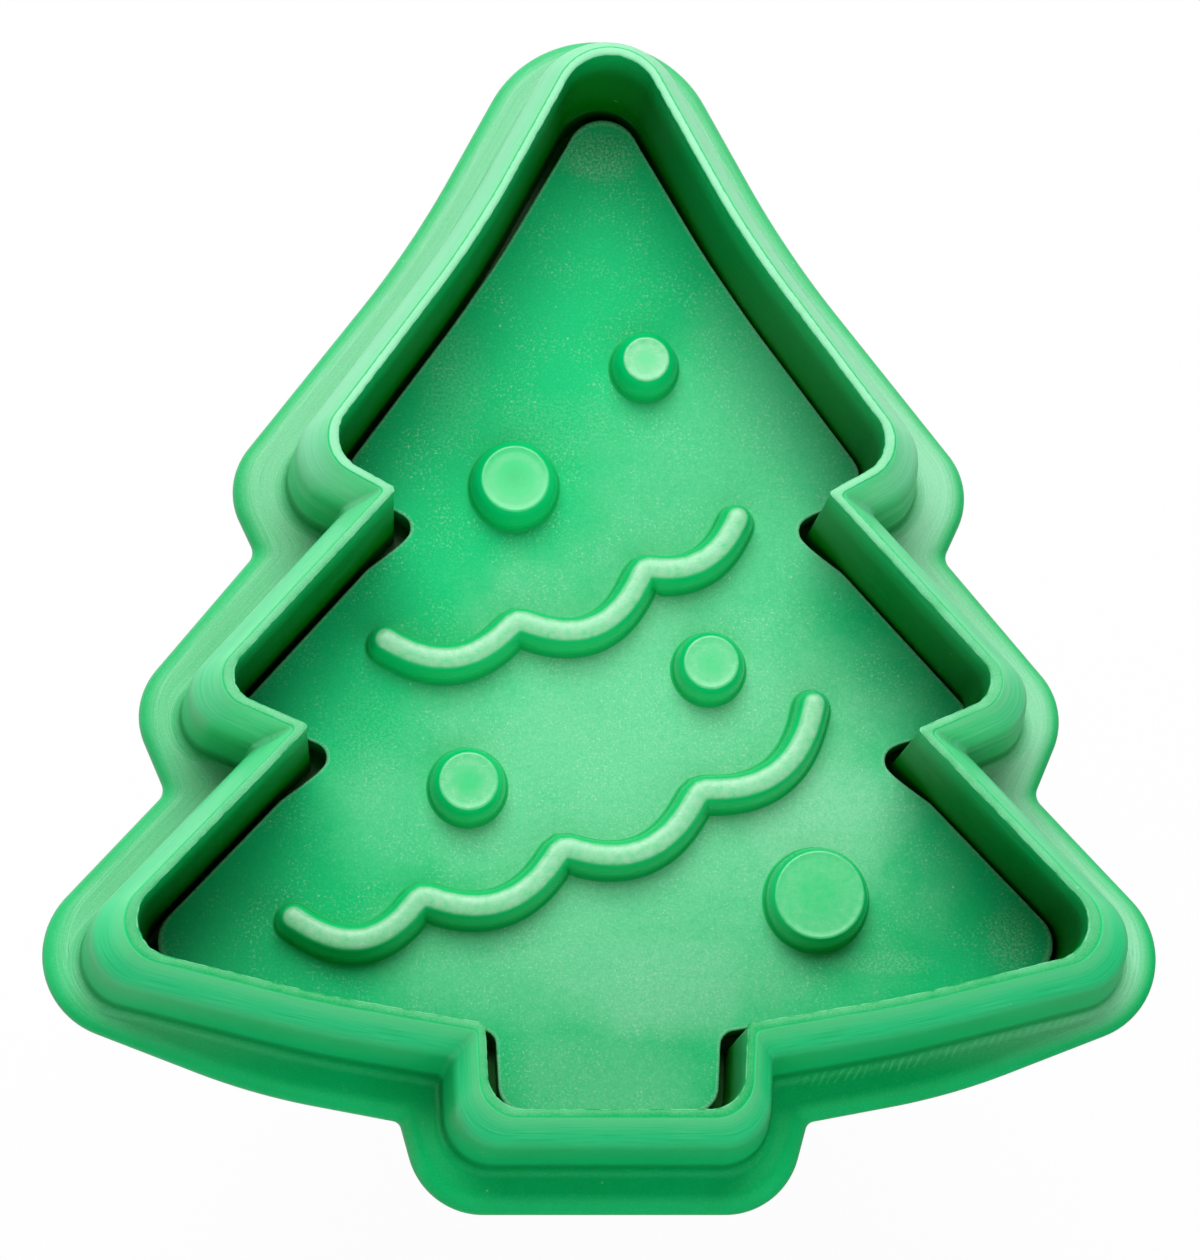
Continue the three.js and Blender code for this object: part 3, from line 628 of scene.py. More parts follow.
def run_group(name, mesh, nodes, values):
    """Runs a Geometry Nodes tree on a mesh and keeps the result as a plain piece."""
    shown = show(name, mesh)
    modifier = shown.modifiers.new(name, "NODES")
    modifier.node_group = nodes.tree
    for item in nodes.tree.interface.items_tree:
        if item.in_out == "INPUT" and item.name in values:
            modifier[item.identifier] = values[item.name]
    bpy.context.view_layer.update()
    result = bpy.data.meshes.new_from_object(shown.evaluated_get(bpy.context.evaluated_depsgraph_get()))
    shown.modifiers.clear()
    shown.data = result
    return shown


nodes, given = node_group("ribs_round_tower", Int=["Count"], Vector=["Middle"], Material=["Finish"])
spots = nodes.add("GeometryNodeMeshLine", {
    "Count": given("Count"), "Start Location": given("Middle"), "Offset": (0.0, 0.0, 0.0)})
heading = (nodes.add("GeometryNodeInputIndex") + 0.5) * math.tau / given("Count")
turned = nodes.add("ShaderNodeCombineXYZ", {"Z": heading})
ribs = nodes.add("GeometryNodeInstanceOnPoints", {
    "Points": spots, "Instance": given("Geometry"), "Rotation": turned})
close_group(nodes, given, ribs)
tower_ribs = run_group("tower_ribs", rib_web(), nodes, {
    "Count": RIB_COUNT, "Middle": (0.0, AXIS_Y * MM, 0.0), "Finish": body_green})
shade_smooth(tower_ribs.data)
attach(tower_ribs, "cutter")

# Stamp plate: a separate green moulding that runs inside the wall. Its face has the fine grain of a
# spark-eroded mould; on it stand round baubles and scalloped garlands, polished by use and painted paler on
# top for wear and part of their sheen, with painted shade at their feet.
# Behind it are a lip, cross ribs and the socket that the stem is pressed into.

PLATE_TOP, PLATE_BOTTOM = 45.00, 42.00
PLATE_CLEARANCE, PLATE_CLOSEST = 0.90, 0.45
# Share of the closest run by height on the tree, and where it starts and how fast it grows beside a notch
CLOSE_HEIGHTS, CLOSE_SHARES = (-22.6, -19.8, 20.0, 29.0), (0.0, 1.0, 1.0, 0.3)
NOTCHES = (TREE_SIDE[2][0], TREE_SIDE[4][0])
NOTCH_ROOM, NOTCH_FADE = 1.0, 1.6
PLATE_PLAY = 0.18
PLATE_EDGE = 0.14
PLATE_LIP = 1.50
PLATE_CORE = 43.30
# Cross ribs: width, start from the plunger's axis, sink into the plate, and ends
WEB_WIDTH, WEB_START, WEB_SINK = 1.40, 4.8, 0.3
WEB_NORTH, WEB_SOUTH, WEB_SIDE = 27.5, -29.0, 18.0
SOCKET_RADIUS, SOCKET_BORE, SOCKET_BOTTOM, SOCKET_EDGE = 5.00, 2.70, 37.50, 0.2
# This mark is above 0 where the plate is painted pale, for wear and part of the sheen, and below 0 where
# painted shade darkens it
SIDE_PAINTED_SHADE, EDGE_RUB = -1.0, 0.4
# How dark the painted shade at the relief's foot is, and how far up the side it reaches, in millimetres
FOOT_DARK, FOOT_SHADE = 0.85, 1.20
RELIEF = 2.30
RELIEF_SINK = 0.30
# Baubles: place, width at the plate and on top, how bare the middle is left, how rubbed the top is, painted
# pale for wear and sheen
BAUBLES = (
    ((2.55, 15.60), 4.03, 2.70, 0.30, 0.66),
    ((-5.28, 8.20), 5.30, 4.03, 1.00, 0.32),
    ((6.24, -2.80), 4.28, 3.20, 0.20, 0.50),
    ((-8.05, -9.98), 4.57, 3.42, 0.30, 0.52),
    ((12.44, -16.60), 6.08, 5.20, 0.15, 0.43),
)
BAUBLE_FOOT, BAUBLE_LIP, BAUBLE_STEPS = 0.20, 0.022, 72
HOLLOW_EDGE, HOLLOW_SHARES = 0.7, (0.65, 0.5, 0.35, 0.2)
BARE_SHARE, BARE_STRENGTH = 0.62, 1.8
# Garlands: the peaks that the swags hang from, and how far each swag sags
GARLANDS = (
    (((-12.90, -1.50), (-5.20, -0.20), (2.35, 3.00), (7.90, 6.00)), (1.75, 2.20, 1.30)),
    (((-18.20, -18.00), (-10.80, -16.60), (-2.60, -13.70), (5.50, -10.30), (12.30, -5.20)),
     (2.00, 2.00, 2.10, 1.95)),
)
CREST_START, CREST_RISE = 2.08, 0.14
SWAG_STEPS = 26
PEAK_REACH = 1.12
PEAK_SOFTENING = 2
# Half width and height of the garland's section, from the sunk foot to the crest
GARLAND_SECTION = (
    (1.28, -0.30), (1.28, -0.01), (1.17, 0.02), (1.11, 0.09), (1.08, 0.25), (1.04, 0.70), (0.97, 1.20),
    (0.88, 1.58), (0.80, 1.83), (0.71, 2.00), (0.62, 2.12), (0.52, 2.20), (0.40, 2.26), (0.21, 2.293),
    (0.0, 2.30),
)


def foot_shade(height):
    """How much painted shade darkens the relief's side: most at its foot, where it meets the plate."""
    return FOOT_DARK * float(np.clip(1 - height / FOOT_SHADE, 0.0, 1.0))


def add_bauble(shell, place, base, top, bare, top_wear_and_sheen):
    """A bauble: a small fillet, a bowed side, a rounded rim and a top that is dished a little."""
    foot, crown, dish = base / 2, top / 2, RELIEF - BAUBLE_LIP
    section = [(foot + BAUBLE_FOOT, -RELIEF_SINK)]
    section += bend((foot + BAUBLE_FOOT, -0.01), (foot, 0.0), (foot - 0.02, 0.3))
    section += bend((foot - 0.03, 0.45), (foot - 0.10, RELIEF * 0.80), (crown + 0.05, RELIEF - 0.09), 8)
    section += [(crown, RELIEF - 0.025), (crown - 0.06, RELIEF), (crown - 0.12, RELIEF)]
    section += bend((crown - 0.16, RELIEF - 0.005), (crown - 0.36, dish), (crown - 0.46, dish))
    for share in HOLLOW_SHARES:
        section.append((crown * share, RELIEF - BAUBLE_LIP * (1 + bare * (HOLLOW_EDGE - share))))
    angles = math.tau * np.arange(BAUBLE_STEPS) / BAUBLE_STEPS
    rays = np.stack((np.cos(angles), np.sin(angles)), axis=1)
    rings = []
    middle = np.array(place) + (0.0, TREE_SHIFT)
    for radius, height in section:
        # The top is painted pale for wear and part of its sheen, less in a bare middle; painted shade darkens
        # the foot
        on_top = top_wear_and_sheen if height > RELIEF - 0.1 and radius < crown + 0.01 else 0.0
        left_bare = BARE_STRENGTH * bare * max(0.0, 1 - (radius / crown / BARE_SHARE) ** 2)
        wear_and_painted_light = on_top * (1 - left_bare) - foot_shade(height)
        rings.append(shell.ring(middle + rays * radius, PLATE_TOP + height, rub_and_painted_light=wear_and_painted_light))
    shell.solid(rings)


def garland_path(peaks, sags):
    """Swags hung from peak to peak, with the peaks softened."""
    path = []
    for i, sag in enumerate(sags):
        start, end = np.array(peaks[i]), np.array(peaks[i + 1])
        along = unit(end - start)
        drop = np.array((along[1], -along[0]))
        for k in range(min(i, 1), SWAG_STEPS + 1):
            share = k / SWAG_STEPS
            path.append(start + (end - start) * share + drop * 4 * sag * share * (1 - share))
    path = np.array(path)
    for _ in range(PEAK_SOFTENING):
        path[1:-1] = (path[:-2] + 2 * path[1:-1] + path[2:]) / 4
    return path


def ridge_loop(path, half_width, end_steps=14):
    """The outline of a ridge along a path, with round ends; offsets that cross at a peak meet on its mitre."""
    count = len(path)
    headings = np.array([unit(b - a) for a, b in zip(path, path[1:])])
    sides = {1: [], -1: []}
    peaks = range(SWAG_STEPS, count - 1, SWAG_STEPS)
    for side in sides:
        for i in range(count):
            into, out = headings[max(i - 1, 0)], headings[min(i, count - 2)]
            across = np.array((into[1] + out[1], -into[0] - out[0]))
            reach = min(np.linalg.norm(across) / (1 + into @ out), PEAK_REACH)
            sides[side].append(path[i] + side * unit(across) * half_width * reach)
        for peak in peaks:
            mitre = sides[side][peak]
            forward = unit(headings[peak - 1] + headings[peak])
            for i in range(max(0, peak - SWAG_STEPS + 1), min(count, peak + SWAG_STEPS)):
                beyond = (sides[side][i] - path[peak]) @ forward
                if (i < peak and beyond > 0) or (i > peak and beyond < 0):
                    sides[side][i] = mitre
    angles = math.pi * np.arange(1, end_steps) / end_steps
    right, left = sides[1], sides[-1][::-1]
    return np.array([*right, *swing(path[-1], right[-1], angles), *left, *swing(path[0], left[-1], angles)])


def add_garland(shell, peaks, sags):
    """A garland: its section carried along the swags, painted pale along the crest for wear and sheen."""
    path = garland_path(peaks, sags) + (0.0, TREE_SHIFT)
    rings = []
    for half_width, height in GARLAND_SECTION:
        loop = ridge_loop(path, half_width)
        wear_and_painted_light = float(np.clip((height - CREST_START) / CREST_RISE, 0.0, 1.0)) - foot_shade(height)
        rings.append(shell.ring(loop, PLATE_TOP + height, rub_and_painted_light=wear_and_painted_light))
    shell.skins(rings)
    shell.fill(rings[0])


def stamp_plate():
    """The plate with its lip, socket and cross ribs; the relief on it has the second finish."""
    shell = Shell("rub_and_painted_light")

    def ring(inset, height, rub_and_painted_light):
        """The plate's outline, closer to the wall along the tiers than at the notches, trunk and apex."""
        loose = outline(-PLATE_CLEARANCE - inset, "plate")
        close = outline(-PLATE_CLOSEST - inset, "plate")
        share = np.interp(loose[:, 1], CLOSE_HEIGHTS, CLOSE_SHARES)
        for x, y in NOTCHES:
            away = np.hypot(np.abs(loose[:, 0]) - x, loose[:, 1] - y)
            share = share * np.clip((away - NOTCH_ROOM) / NOTCH_FADE, 0.0, 1.0)
        loop = loose + (close - loose) * share[:, None] + (PLATE_PLAY, TREE_SHIFT)
        return shell.ring(loop, height, rub_and_painted_light=rub_and_painted_light)

    rows = [
        (PLATE_LIP, PLATE_CORE, 0.0), (PLATE_LIP, PLATE_BOTTOM, 0.0), (0.0, PLATE_BOTTOM, SIDE_PAINTED_SHADE),
        (0.0, PLATE_BOTTOM + 1.2, SIDE_PAINTED_SHADE), (0.0, PLATE_TOP - PLATE_EDGE - 0.05, SIDE_PAINTED_SHADE),
    ]
    for across, height in arc_points((-PLATE_EDGE, PLATE_TOP - PLATE_EDGE), PLATE_EDGE, 0, 90, 6):
        rows.append((-across, height, EDGE_RUB))
    rows += [(PLATE_EDGE + 0.08, PLATE_TOP, 0.0), (PLATE_EDGE + 0.5, PLATE_TOP, 0.0)]
    rings = [ring(*row) for row in rows]
    shell.skins(rings)
    shell.fill(rings[-1])
    socket = shell.turned((
        (SOCKET_RADIUS, PLATE_CORE), (SOCKET_RADIUS, SOCKET_BOTTOM + SOCKET_EDGE),
        (SOCKET_RADIUS - SOCKET_EDGE, SOCKET_BOTTOM), (SOCKET_BORE, SOCKET_BOTTOM), (SOCKET_BORE, PLATE_CORE)))
    shell.skins(socket)
    shell.fill(rings[0], socket[0])
    shell.fill(socket[-1])
    low, high = PLATE_BOTTOM + 0.02, PLATE_CORE + WEB_SINK
    half, start = WEB_WIDTH / 2, WEB_START
    for x0, y0, x1, y1 in (
        (-half, AXIS_Y + start, half, WEB_NORTH), (-half, WEB_SOUTH, half, AXIS_Y - start),
        (start, AXIS_Y - half, WEB_SIDE, AXIS_Y + half),
        (-WEB_SIDE, AXIS_Y - half, -start, AXIS_Y + half),
    ):
        box = np.array(((x0, y0), (x1, y0), (x1, y1), (x0, y1)))
        shell.solid([shell.ring(box, low), shell.ring(box, high)])
    shell.finish = 1
    for row in BAUBLES:
        add_bauble(shell, *row)
    for row in GARLANDS:
        add_garland(shell, *row)
    return shell


PLATE_GREEN = colour(0.0, 0.53, 0.175)
PLATE_SHADE = colour(0.0, 0.48, 0.152)
PLATE_RUBBED_SHEEN = colour(0.40, 0.66, 0.47)
PLATE_DUST_AND_GLINT = colour(0.42, 0.66, 0.50)
PLATE_SHEEN_AND_DULLING = colour(0.21, 0.64, 0.36)
PLATE_SIDE_SHADE = colour(0.0, 0.22, 0.04)
PLATE_SPARK = colour(0.06, 0.64, 0.30)
PLATE_SPECULAR = 0.13
# Where the plate is painted paler, partly dulled by dough and partly painted sheen, and scuffs on it: middle,
# half sizes and strength
SHEEN_AND_DULL_PATCHES = (
    ((3.4, -11.5), (18.6, 18.5), 0.63), ((7.8, 6.0), (10.5, 14.0), 0.36), ((-6.4, -20.0), (9.0, 6.0), 0.42),
    ((2.9, -22.0), (8.0, 5.5), 0.70), ((12.3, -12.0), (7.5, 6.5), 0.86), ((1.8, -5.5), (9.0, 6.0), 0.62),
    ((-11.4, -12.5), (6.5, 5.5), 0.32), ((0.0, -28.5), (8.0, 5.0), 0.40),
)
SCUFFS = (
    ((0.0, 28.0), (2.9, 1.9), 0.55), ((23.9, -19.8), (1.6, 2.4), 0.35), ((-2.5, 10.9), (5.0, 2.5), 0.16),
    ((16.5, -21.2), (3.5, 0.9), 0.30), ((-14.0, -9.0), (3.0, 5.0), 0.14), ((-9.0, 14.0), (2.5, 5.0), 0.16),
)


def plate_finish():
    """Spark-eroded satin green, with haze partly painted as sheen, painted glints, dust and scuffs, and painted
    side shade.
    """
    nodes, where, material = new_finish("plate_green")
    grain, rise, coat = nodes.grain, nodes.rise, nodes.coat
    rub_and_painted_light = nodes.mark("rub_and_painted_light")
    clouds = grain(where, 0.10, detail=3, offset=2)
    mottle = grain(where, 2.2, detail=4, offset=4)
    spark = grain(where, 8.5, detail=2, rough=0.6, offset=6)
    glint = nodes.specks(where, 5.0, 0.22, 0.40)
    dust = nodes.specks(where, 1.5, 0.16, 0.15)
    thread = grain(where, 6.0, detail=5, rough=0.75, offset=8)
    east, north = nodes.east_north(where)

    def patches(rows, ragged):
        """Soft patches, the strongest of them at each place, with ragged edges."""
        found = None
        for (x, y), (wide, tall), strength in rows:
            aside = (east - x * MM) / (wide * MM)
            ahead = (north - y * MM) / (tall * MM)
            patch = (1 - rise(aside * aside + ahead * ahead + ragged, 0.0, 1.1)) * strength
            found = patch if found is None else found.over(patch)
        return found

    scuff = patches(SCUFFS, 0.0) * rise(thread, 0.46, 0.60)
    smear = grain(where, 0.16, detail=6, rough=0.62, offset=9)
    sheen_and_dulling = patches(SHEEN_AND_DULL_PATCHES, (smear - 0.5) * 1.6) * (1 + 1.1 * (spark - 0.5) + 0.7 * (mottle - 0.5))
    nodes.base = nodes.blend(rise(clouds * 0.6 + mottle * 0.4, 0.32, 0.68), PLATE_SHADE, PLATE_GREEN)
    coat((spark - 0.5) * 0.9 + 0.02, PLATE_SPARK)
    # Painted sheen, partly dulling by dough, in soft patches over the plate's middle
    coat(sheen_and_dulling, PLATE_SHEEN_AND_DULLING)
    # Painted sparkle and glints from the grain, thicker where the painted sheen is; dust and scuffs share the
    # pale green
    sparkle = rise(grain(where, 5.6, detail=4, rough=0.8, offset=15), 0.54, 0.63)
    drift = rise(grain(where, 0.35, detail=4, rough=0.65, offset=21), 0.44, 0.62)
    coat(sparkle * (0.05 + 0.48 * drift + 0.45 * sheen_and_dulling), PLATE_DUST_AND_GLINT)
    coat(rub_and_painted_light * rise(thread, 0.40, 0.55), PLATE_RUBBED_SHEEN)
    coat(glint * 0.12 + dust * 0.45, PLATE_DUST_AND_GLINT)
    coat(scuff, PLATE_DUST_AND_GLINT)
    # Painted shade on the plate's side, down in the gap by the wall
    coat(rub_and_painted_light * -1.0, PLATE_SIDE_SHADE)
    roughness = 0.56 + 0.10 * (mottle - 0.5)
    height = 7e-6 * spark + 5e-6 * mottle + 5e-6 * glint
    close_finish(nodes, roughness, height, Specular_IOR_Level=PLATE_SPECULAR)
    return material


RELIEF_FOOT_SHADE = colour(0.0, 0.42, 0.10)
RELIEF_GREEN = colour(0.0, 0.58, 0.16)
RELIEF_SPECULAR = 0.45
WIPE_ANGLE = 0.7


def relief_finish():
    """Polished green: wear and painted sheen pale on top, fine wiping scratches, painted shade and dullness at
    the foot.
    """
    nodes, where, material = new_finish("relief_green")
    rub_and_painted_light = nodes.mark("rub_and_painted_light")
    wiped = nodes.add("ShaderNodeMapping", {
        "Vector": where, "Rotation": (0.0, 0.0, WIPE_ANGLE), "Scale": (0.25, 1.0, 1.0)})
    scratch = nodes.rise(nodes.grain(wiped, 7.0, detail=4, rough=0.7, offset=3), 0.55, 0.70)
    mottle = nodes.grain(where, 2.2, detail=4, offset=4)
    fine = nodes.grain(where, 9.0, detail=3, offset=6)
    bright, dark = nodes.rise(rub_and_painted_light, 0.0, 1.0), 0 - rub_and_painted_light
    wear_and_painted_light = bright * (0.55 + 0.40 * scratch + 1.0 * (mottle - 0.5) + 0.4 * (fine - 0.5))
    nodes.base = nodes.blend(dark, nodes.blend(wear_and_painted_light, RELIEF_GREEN, PLATE_RUBBED_SHEEN), RELIEF_FOOT_SHADE)
    roughness = 0.20 + 0.16 * bright * mottle + 0.06 * scratch * bright + 0.04 * fine
    roughness = roughness + 0.45 * nodes.rise(dark, 0.0, 0.8)
    height = 1.2e-6 * fine + 2.5e-6 * mottle + 2.0e-6 * scratch * bright
    close_finish(nodes, roughness, height, Specular_IOR_Level=RELIEF_SPECULAR)
    return material


plate = stamp_plate().piece("stamp_plate_moulding", plate_finish(), relief_finish())
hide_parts("stamp_plate")
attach(plate, "plunger")

# Plunger stem: a cross-winged post in the same green plastic, pressed into the plate's socket at one end and
# into the knob at the other. It keeps its shape from the frame and gets a satin moulded finish.

STEM_ROUGHNESS = 0.34


def moulded_finish(name, least_roughness):
    """Plain moulded green, with flow marks and fine draw lines along the pull of the mould."""
    nodes, where, material = new_finish(name)
    stretched = nodes.add("ShaderNodeMapping", {"Vector": where, "Scale": (1.0, 1.0, 0.08)})
    draw = nodes.grain(stretched, 3.5, detail=3)
    flow = nodes.grain(where, 0.4, detail=4, offset=3)
    fine = nodes.grain(where, 9.0, detail=2, offset=5)
    dust = nodes.specks(where, 0.9, 0.10, 0.15)
    nodes.base = nodes.blend(nodes.rise(flow, 0.35, 0.65), SHADE_GREEN, DEEP_GREEN)
    nodes.coat(dust * 0.4, DUST)
    roughness = least_roughness + 0.10 * flow + 0.05 * fine
    height = 3e-6 * draw + 1.5e-6 * fine + 3e-6 * flow
    close_finish(nodes, roughness, height)
    return material


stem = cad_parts["plunger_stem"]
stem.data.materials.clear()
stem.data.materials.append(moulded_finish("stem_green", STEM_ROUGHNESS))

# Return spring: one drawn steel wire, wound into nine and a half curls with closed-up ends. It stands on the
# knob's floor and pushes against a seat in the tower; the real wire shortens as the plunger is pressed, but
# here it is one fixed shape carried with the cutter.

WIRE, COIL_RADIUS, COIL_CURLS = 1.10, 6.00, 9.5
COIL_BOTTOM, COIL_TOP = 3.75, 32.75
COIL_CLOSENESS = 0.42
COIL_STEPS = 400
WIRE_SIDES = 14
SPRING_STEEL, SPRING_ROUGHNESS = colour(0.62, 0.63, 0.65), 0.22
STEEL_STAIN = colour(0.36, 0.36, 0.37)


def steel_finish(name, tint, least_roughness):
    """Drawn or plated steel: fine lines, faint stains and small scratches."""
    nodes, where, material = new_finish(name)
    stain = nodes.grain(where, 0.5, detail=4)
    fine = nodes.grain(where, 14.0, detail=3, offset=4)
    drawn = nodes.add("ShaderNodeMapping", {"Vector": where, "Scale": (0.3, 0.3, 4.0)})
    lines = nodes.grain(drawn, 4.0, detail=3, offset=6)
    nodes.base = nodes.blend(nodes.rise(stain, 0.40, 0.70), tint, STEEL_STAIN)
    roughness = least_roughness + 0.16 * lines + 0.10 * stain
    height = 1.2e-6 * fine + 1.5e-6 * lines
    close_finish(nodes, roughness, height, Metallic=1.0)
    return material


nodes, given = node_group(
    "wound_wire", Float=["Wire", "Radius", "Curls", "Closeness", "Bottom", "Top"], Int=["Steps"],
    Vector=["Middle"], Material=["Finish"])
line = nodes.add("GeometryNodeMeshLine", {"Count": given("Steps")})
path = nodes.add("GeometryNodeMeshToCurve", {"Mesh": line})
along = nodes.add("GeometryNodeInputIndex") / (given("Steps") - 1)
angle = along * given("Curls") * math.tau
sway = along.math("SINE", along * math.tau) * given("Closeness") / math.tau
rise = given("Bottom") + (given("Top") - given("Bottom")) * (along - sway)
spot = nodes.add("ShaderNodeCombineXYZ", {
    "X": along.math("COSINE", angle) * given("Radius"),
    "Y": along.math("SINE", angle) * given("Radius"), "Z": rise})
spot = nodes.add("ShaderNodeVectorMath", {0: spot, 1: given("Middle")}, operation="ADD")
helix = nodes.add("GeometryNodeSetPosition", {"Geometry": path, "Position": spot})
section = nodes.add("GeometryNodeCurvePrimitiveCircle", {
    "Resolution": WIRE_SIDES, "Radius": given("Wire") / 2})
tube = nodes.add("GeometryNodeCurveToMesh", {"Curve": helix, "Profile Curve": section, "Fill Caps": True})
close_group(nodes, given, nodes.add("GeometryNodeSetShadeSmooth", {"Geometry": tube}))
spring = run_group("return_spring_wire", bpy.data.meshes.new("spring_seed"), nodes, {
    "Wire": WIRE * MM, "Radius": COIL_RADIUS * MM, "Curls": COIL_CURLS, "Steps": COIL_STEPS,
    "Closeness": COIL_CLOSENESS, "Bottom": COIL_BOTTOM * MM, "Top": COIL_TOP * MM,
    "Middle": (0.0, AXIS_Y * MM, 0.0), "Finish": steel_finish("spring_steel", SPRING_STEEL, SPRING_ROUGHNESS)})
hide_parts("return_spring")
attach(spring, "cutter")
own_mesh(spring)

# Push knob: a hollow moulded button on the stem's end, with a soft outer edge, a skirt that hides the spring,
# a ring that centres it and a socket for the stem. Its flat face is what the cutter stands on.

KNOB_ROUGHNESS = 0.28
# Radius and height, from the cap's well over the outside to the spring's room, the socket and the screw's hole
KNOB_SECTION = (
    (5.20, 1.40), (5.20, 0.15), *arc_points((5.35, 0.15), 0.15, 180, 270, 3), (9.00, 0.00),
    *arc_points((14.20, 1.80), 1.8, -90, 0, 12), (15.60, 7.00),
    *arc_points((14.50, 12.30), 0.7, 0, 90, 6), *arc_points((13.65, 12.75), 0.25, 90, 180, 4),
    *arc_points((12.90, 3.50), 0.5, 0, -90, 4), (8.80, 3.00), (8.80, 7.80),
    *arc_points((8.60, 7.80), 0.2, 0, 90, 3), *arc_points((7.60, 7.80), 0.2, 90, 180, 3), (7.40, 3.00),
    (4.95, 3.00), (4.95, 10.30), *arc_points((4.75, 10.30), 0.2, 0, 90, 3), (3.20, 10.50), (3.20, 5.00),
    (1.70, 5.00), (1.70, 3.40), (3.40, 3.40), (3.40, 1.40),
)

knob_green = moulded_finish("knob_green", KNOB_ROUGHNESS)
knob_shell = Shell()
knob_rings = knob_shell.turned(KNOB_SECTION)
knob_shell.skins([*knob_rings, knob_rings[0]])
knob = knob_shell.piece("push_knob_moulding", knob_green)
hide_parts("push_knob")
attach(knob, "plunger")

# Stem screw: a zinc-plated self-tapping screw through the knob's web into the stem. It keeps its shape from
# the frame and gets a plated finish.

SCREW_STEEL, SCREW_ROUGHNESS = colour(0.60, 0.60, 0.62), 0.26
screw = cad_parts["stem_screw"]
screw.data.materials.clear()
screw.data.materials.append(steel_finish("screw_steel", SCREW_STEEL, SCREW_ROUGHNESS))

# Knob cap: a thin moulded disc in the knob's own green, with soft edges. It snaps into the well in the knob's
# face, set back a little from the plane that the cutter stands on, and covers the screw.

CAP_SECTION = (
    *arc_points((4.70, 0.50), 0.3, -90, 0, 5), (5.00, 1.00), *arc_points((4.80, 1.00), 0.2, 0, 90, 3),
)
cap_shell = Shell()
cap_shell.solid(cap_shell.turned(CAP_SECTION))
cap = cap_shell.piece("knob_cap_disc", knob_green)
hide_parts("knob_cap")
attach(cap, "plunger")

# Studio: the cutter stands on its knob on a white sweep, under a softbox behind it, a wide fill light in front
# and a faint sky. The camera looks down on the cutting side, a little from the trunk's end.

SWEEP_RADIUS, SWEEP_CURVE, SWEEP_HEIGHT = 900.0, 300.0, 800.0
# The paper's own colour, painted greyer in front as the cutter's shadow
PAPER_FRONT, PAPER_BACK = colour(0.60, 0.60, 0.60), colour(0.92, 0.92, 0.92)
# Tones that reflections see on the paper: a painted shadow in front, lighter behind
MIRRORED_FRONT, MIRRORED_BACK = colour(0.01, 0.01, 0.01), colour(0.92, 0.92, 0.92)
WHITE = colour(1.0, 1.0, 1.0)
WHITE_SHARE = 0.96


def sweep_finish():
    """Paper that the camera sees white with a faint shadow, but light and reflections greyer in front: a
    painted shadow.
    """
    nodes, where, material = new_finish("white_sweep")
    path = nodes.add("ShaderNodeLightPath", output="Is Camera Ray")
    direct = path.over(path.also("Is Transmission Ray"))
    seen = direct.over(path.also("Is Glossy Ray"))
    east, north = nodes.east_north(where)
    back = nodes.rise(north - east * 0.5, -0.12, 0.10)
    paper = nodes.add("ShaderNodeBsdfDiffuse", {"Color": nodes.blend(back, PAPER_FRONT, PAPER_BACK)})
    shown = nodes.blend(direct, nodes.blend(back, MIRRORED_FRONT, MIRRORED_BACK), WHITE)
    white = nodes.add("ShaderNodeEmission", {"Color": shown, "Strength": 1.0})
    mixed = nodes.add("ShaderNodeMixShader", {0: seen * WHITE_SHARE, 1: paper, 2: white})
    nodes.add("ShaderNodeOutputMaterial", {"Surface": mixed})
    return material


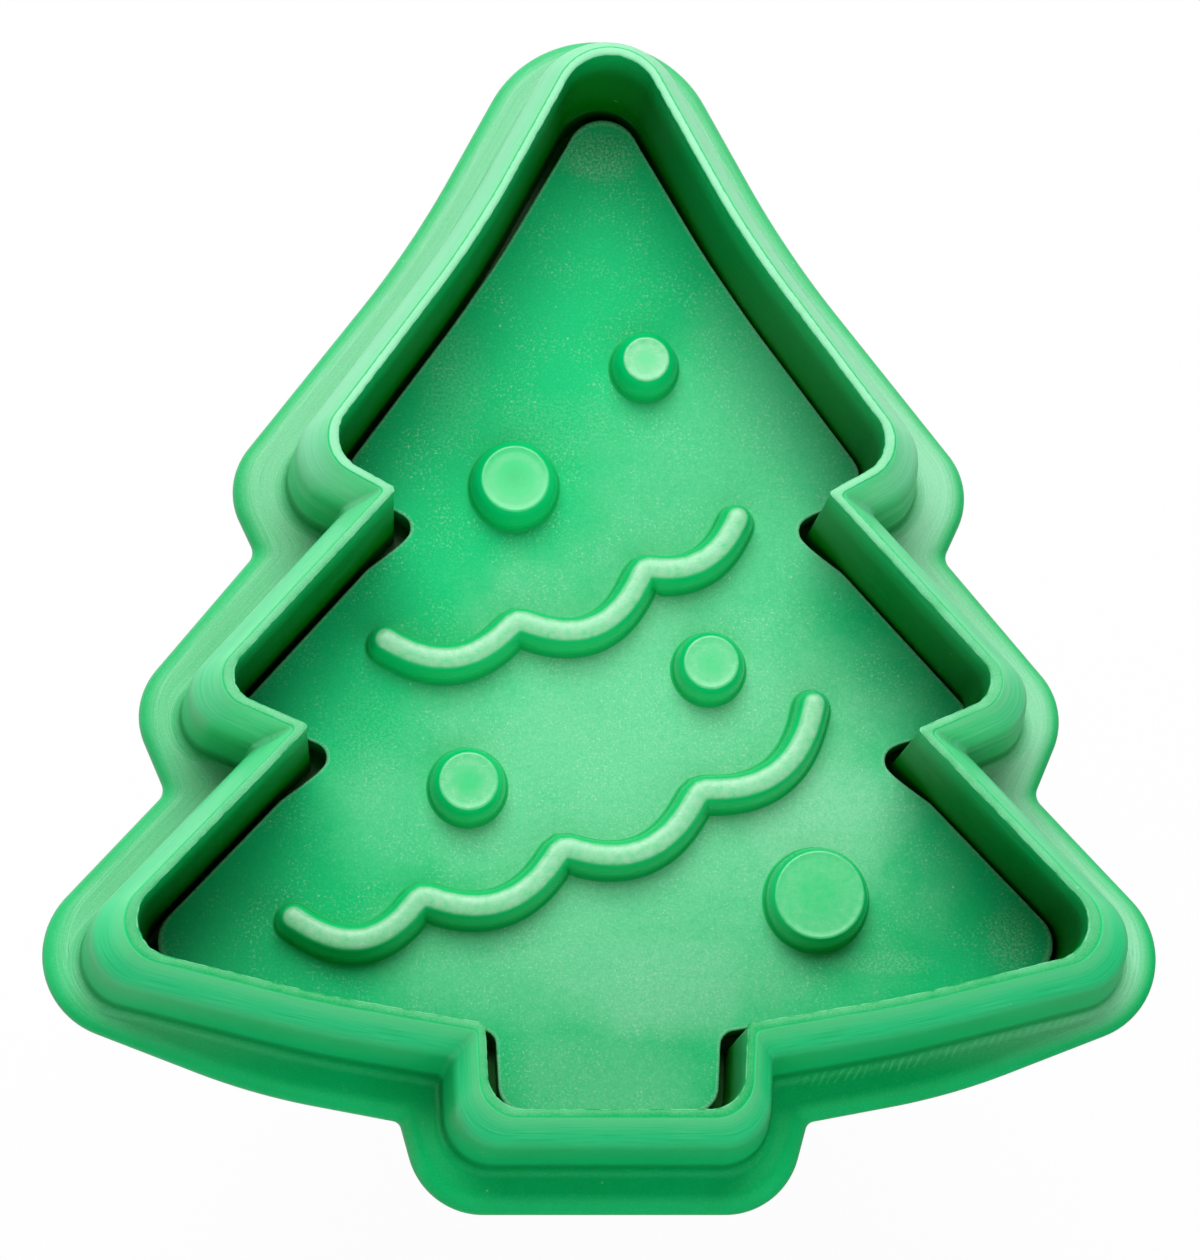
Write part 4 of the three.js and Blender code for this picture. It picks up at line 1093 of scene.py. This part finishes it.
sweep_shell = Shell()
sweep_section = [(radius, 0.0) for radius in (20.0, 200.0, SWEEP_RADIUS - SWEEP_CURVE)]
sweep_section += arc_points((SWEEP_RADIUS - SWEEP_CURVE, SWEEP_CURVE), SWEEP_CURVE, -90, 0, 12)
sweep_section += [(SWEEP_RADIUS, SWEEP_HEIGHT)]
sweep_rings = sweep_shell.turned(sweep_section)
sweep_shell.skins(sweep_rings)
sweep_shell.fill(sweep_rings[0])
sweep = sweep_shell.piece("white_sweep", sweep_finish())
sweep.data.flip_normals()

LAMPS_AIM = (0.0, 0.0, 0.045)


def softbox(name, towards, distance, width, depth, radiance, mirrored=True):
    """A softbox facing the plate from a distance; it may be left out of reflections."""
    lamp = bpy.data.lights.new(name, "AREA")
    lamp.shape = "RECTANGLE"
    lamp.size, lamp.size_y = width, depth
    lamp.energy = radiance * math.pi * width * depth
    shown = show(name, lamp)
    back = Vector(towards).normalized()
    shown.location = Vector(LAMPS_AIM) + back * distance
    shown.rotation_euler = back.to_track_quat("Z", "Y").to_euler()
    shown.visible_glossy = mirrored


softbox("softbox_behind", (-0.06, 0.54, 0.84), distance=0.60, width=0.43, depth=0.41, radiance=7.0)
softbox(
    "fill_in_front", (0.20, -0.76, 0.62), distance=0.80, width=1.30, depth=0.90, radiance=1.35, mirrored=False)

SKY_STRENGTH = 0.06
sky = bpy.data.worlds.new("soft_sky")
sky.use_nodes = True
sky_nodes = Nodes(sky.node_tree)
glow = sky_nodes.add("ShaderNodeBackground", {"Color": WHITE, "Strength": SKY_STRENGTH})
sky_nodes.add("ShaderNodeOutputWorld", {"Surface": glow})
bpy.context.scene.world = sky
bpy.context.scene.view_settings.view_transform = "Standard"

LENS_PIXELS, FRAME_PIXELS = 5025.0, 1260.0
SENSOR_WIDTH = 36.0
camera = bpy.data.cameras.new("photo_camera")
camera.sensor_width = SENSOR_WIDTH
camera.lens = LENS_PIXELS * camera.sensor_width / FRAME_PIXELS
camera.clip_start, camera.clip_end = 0.01, 10.0
eye = show("photo_camera", camera)
eye.matrix_world = Matrix((
    (0.998007, -0.007319, -0.062680, -0.018848),
    (-0.005858, 0.978217, -0.207500, -0.063183),
    (0.062831, 0.207457, 0.976220, 0.335867),
    (0.0, 0.0, 0.0, 1.0),
))
bpy.context.scene.camera = eye
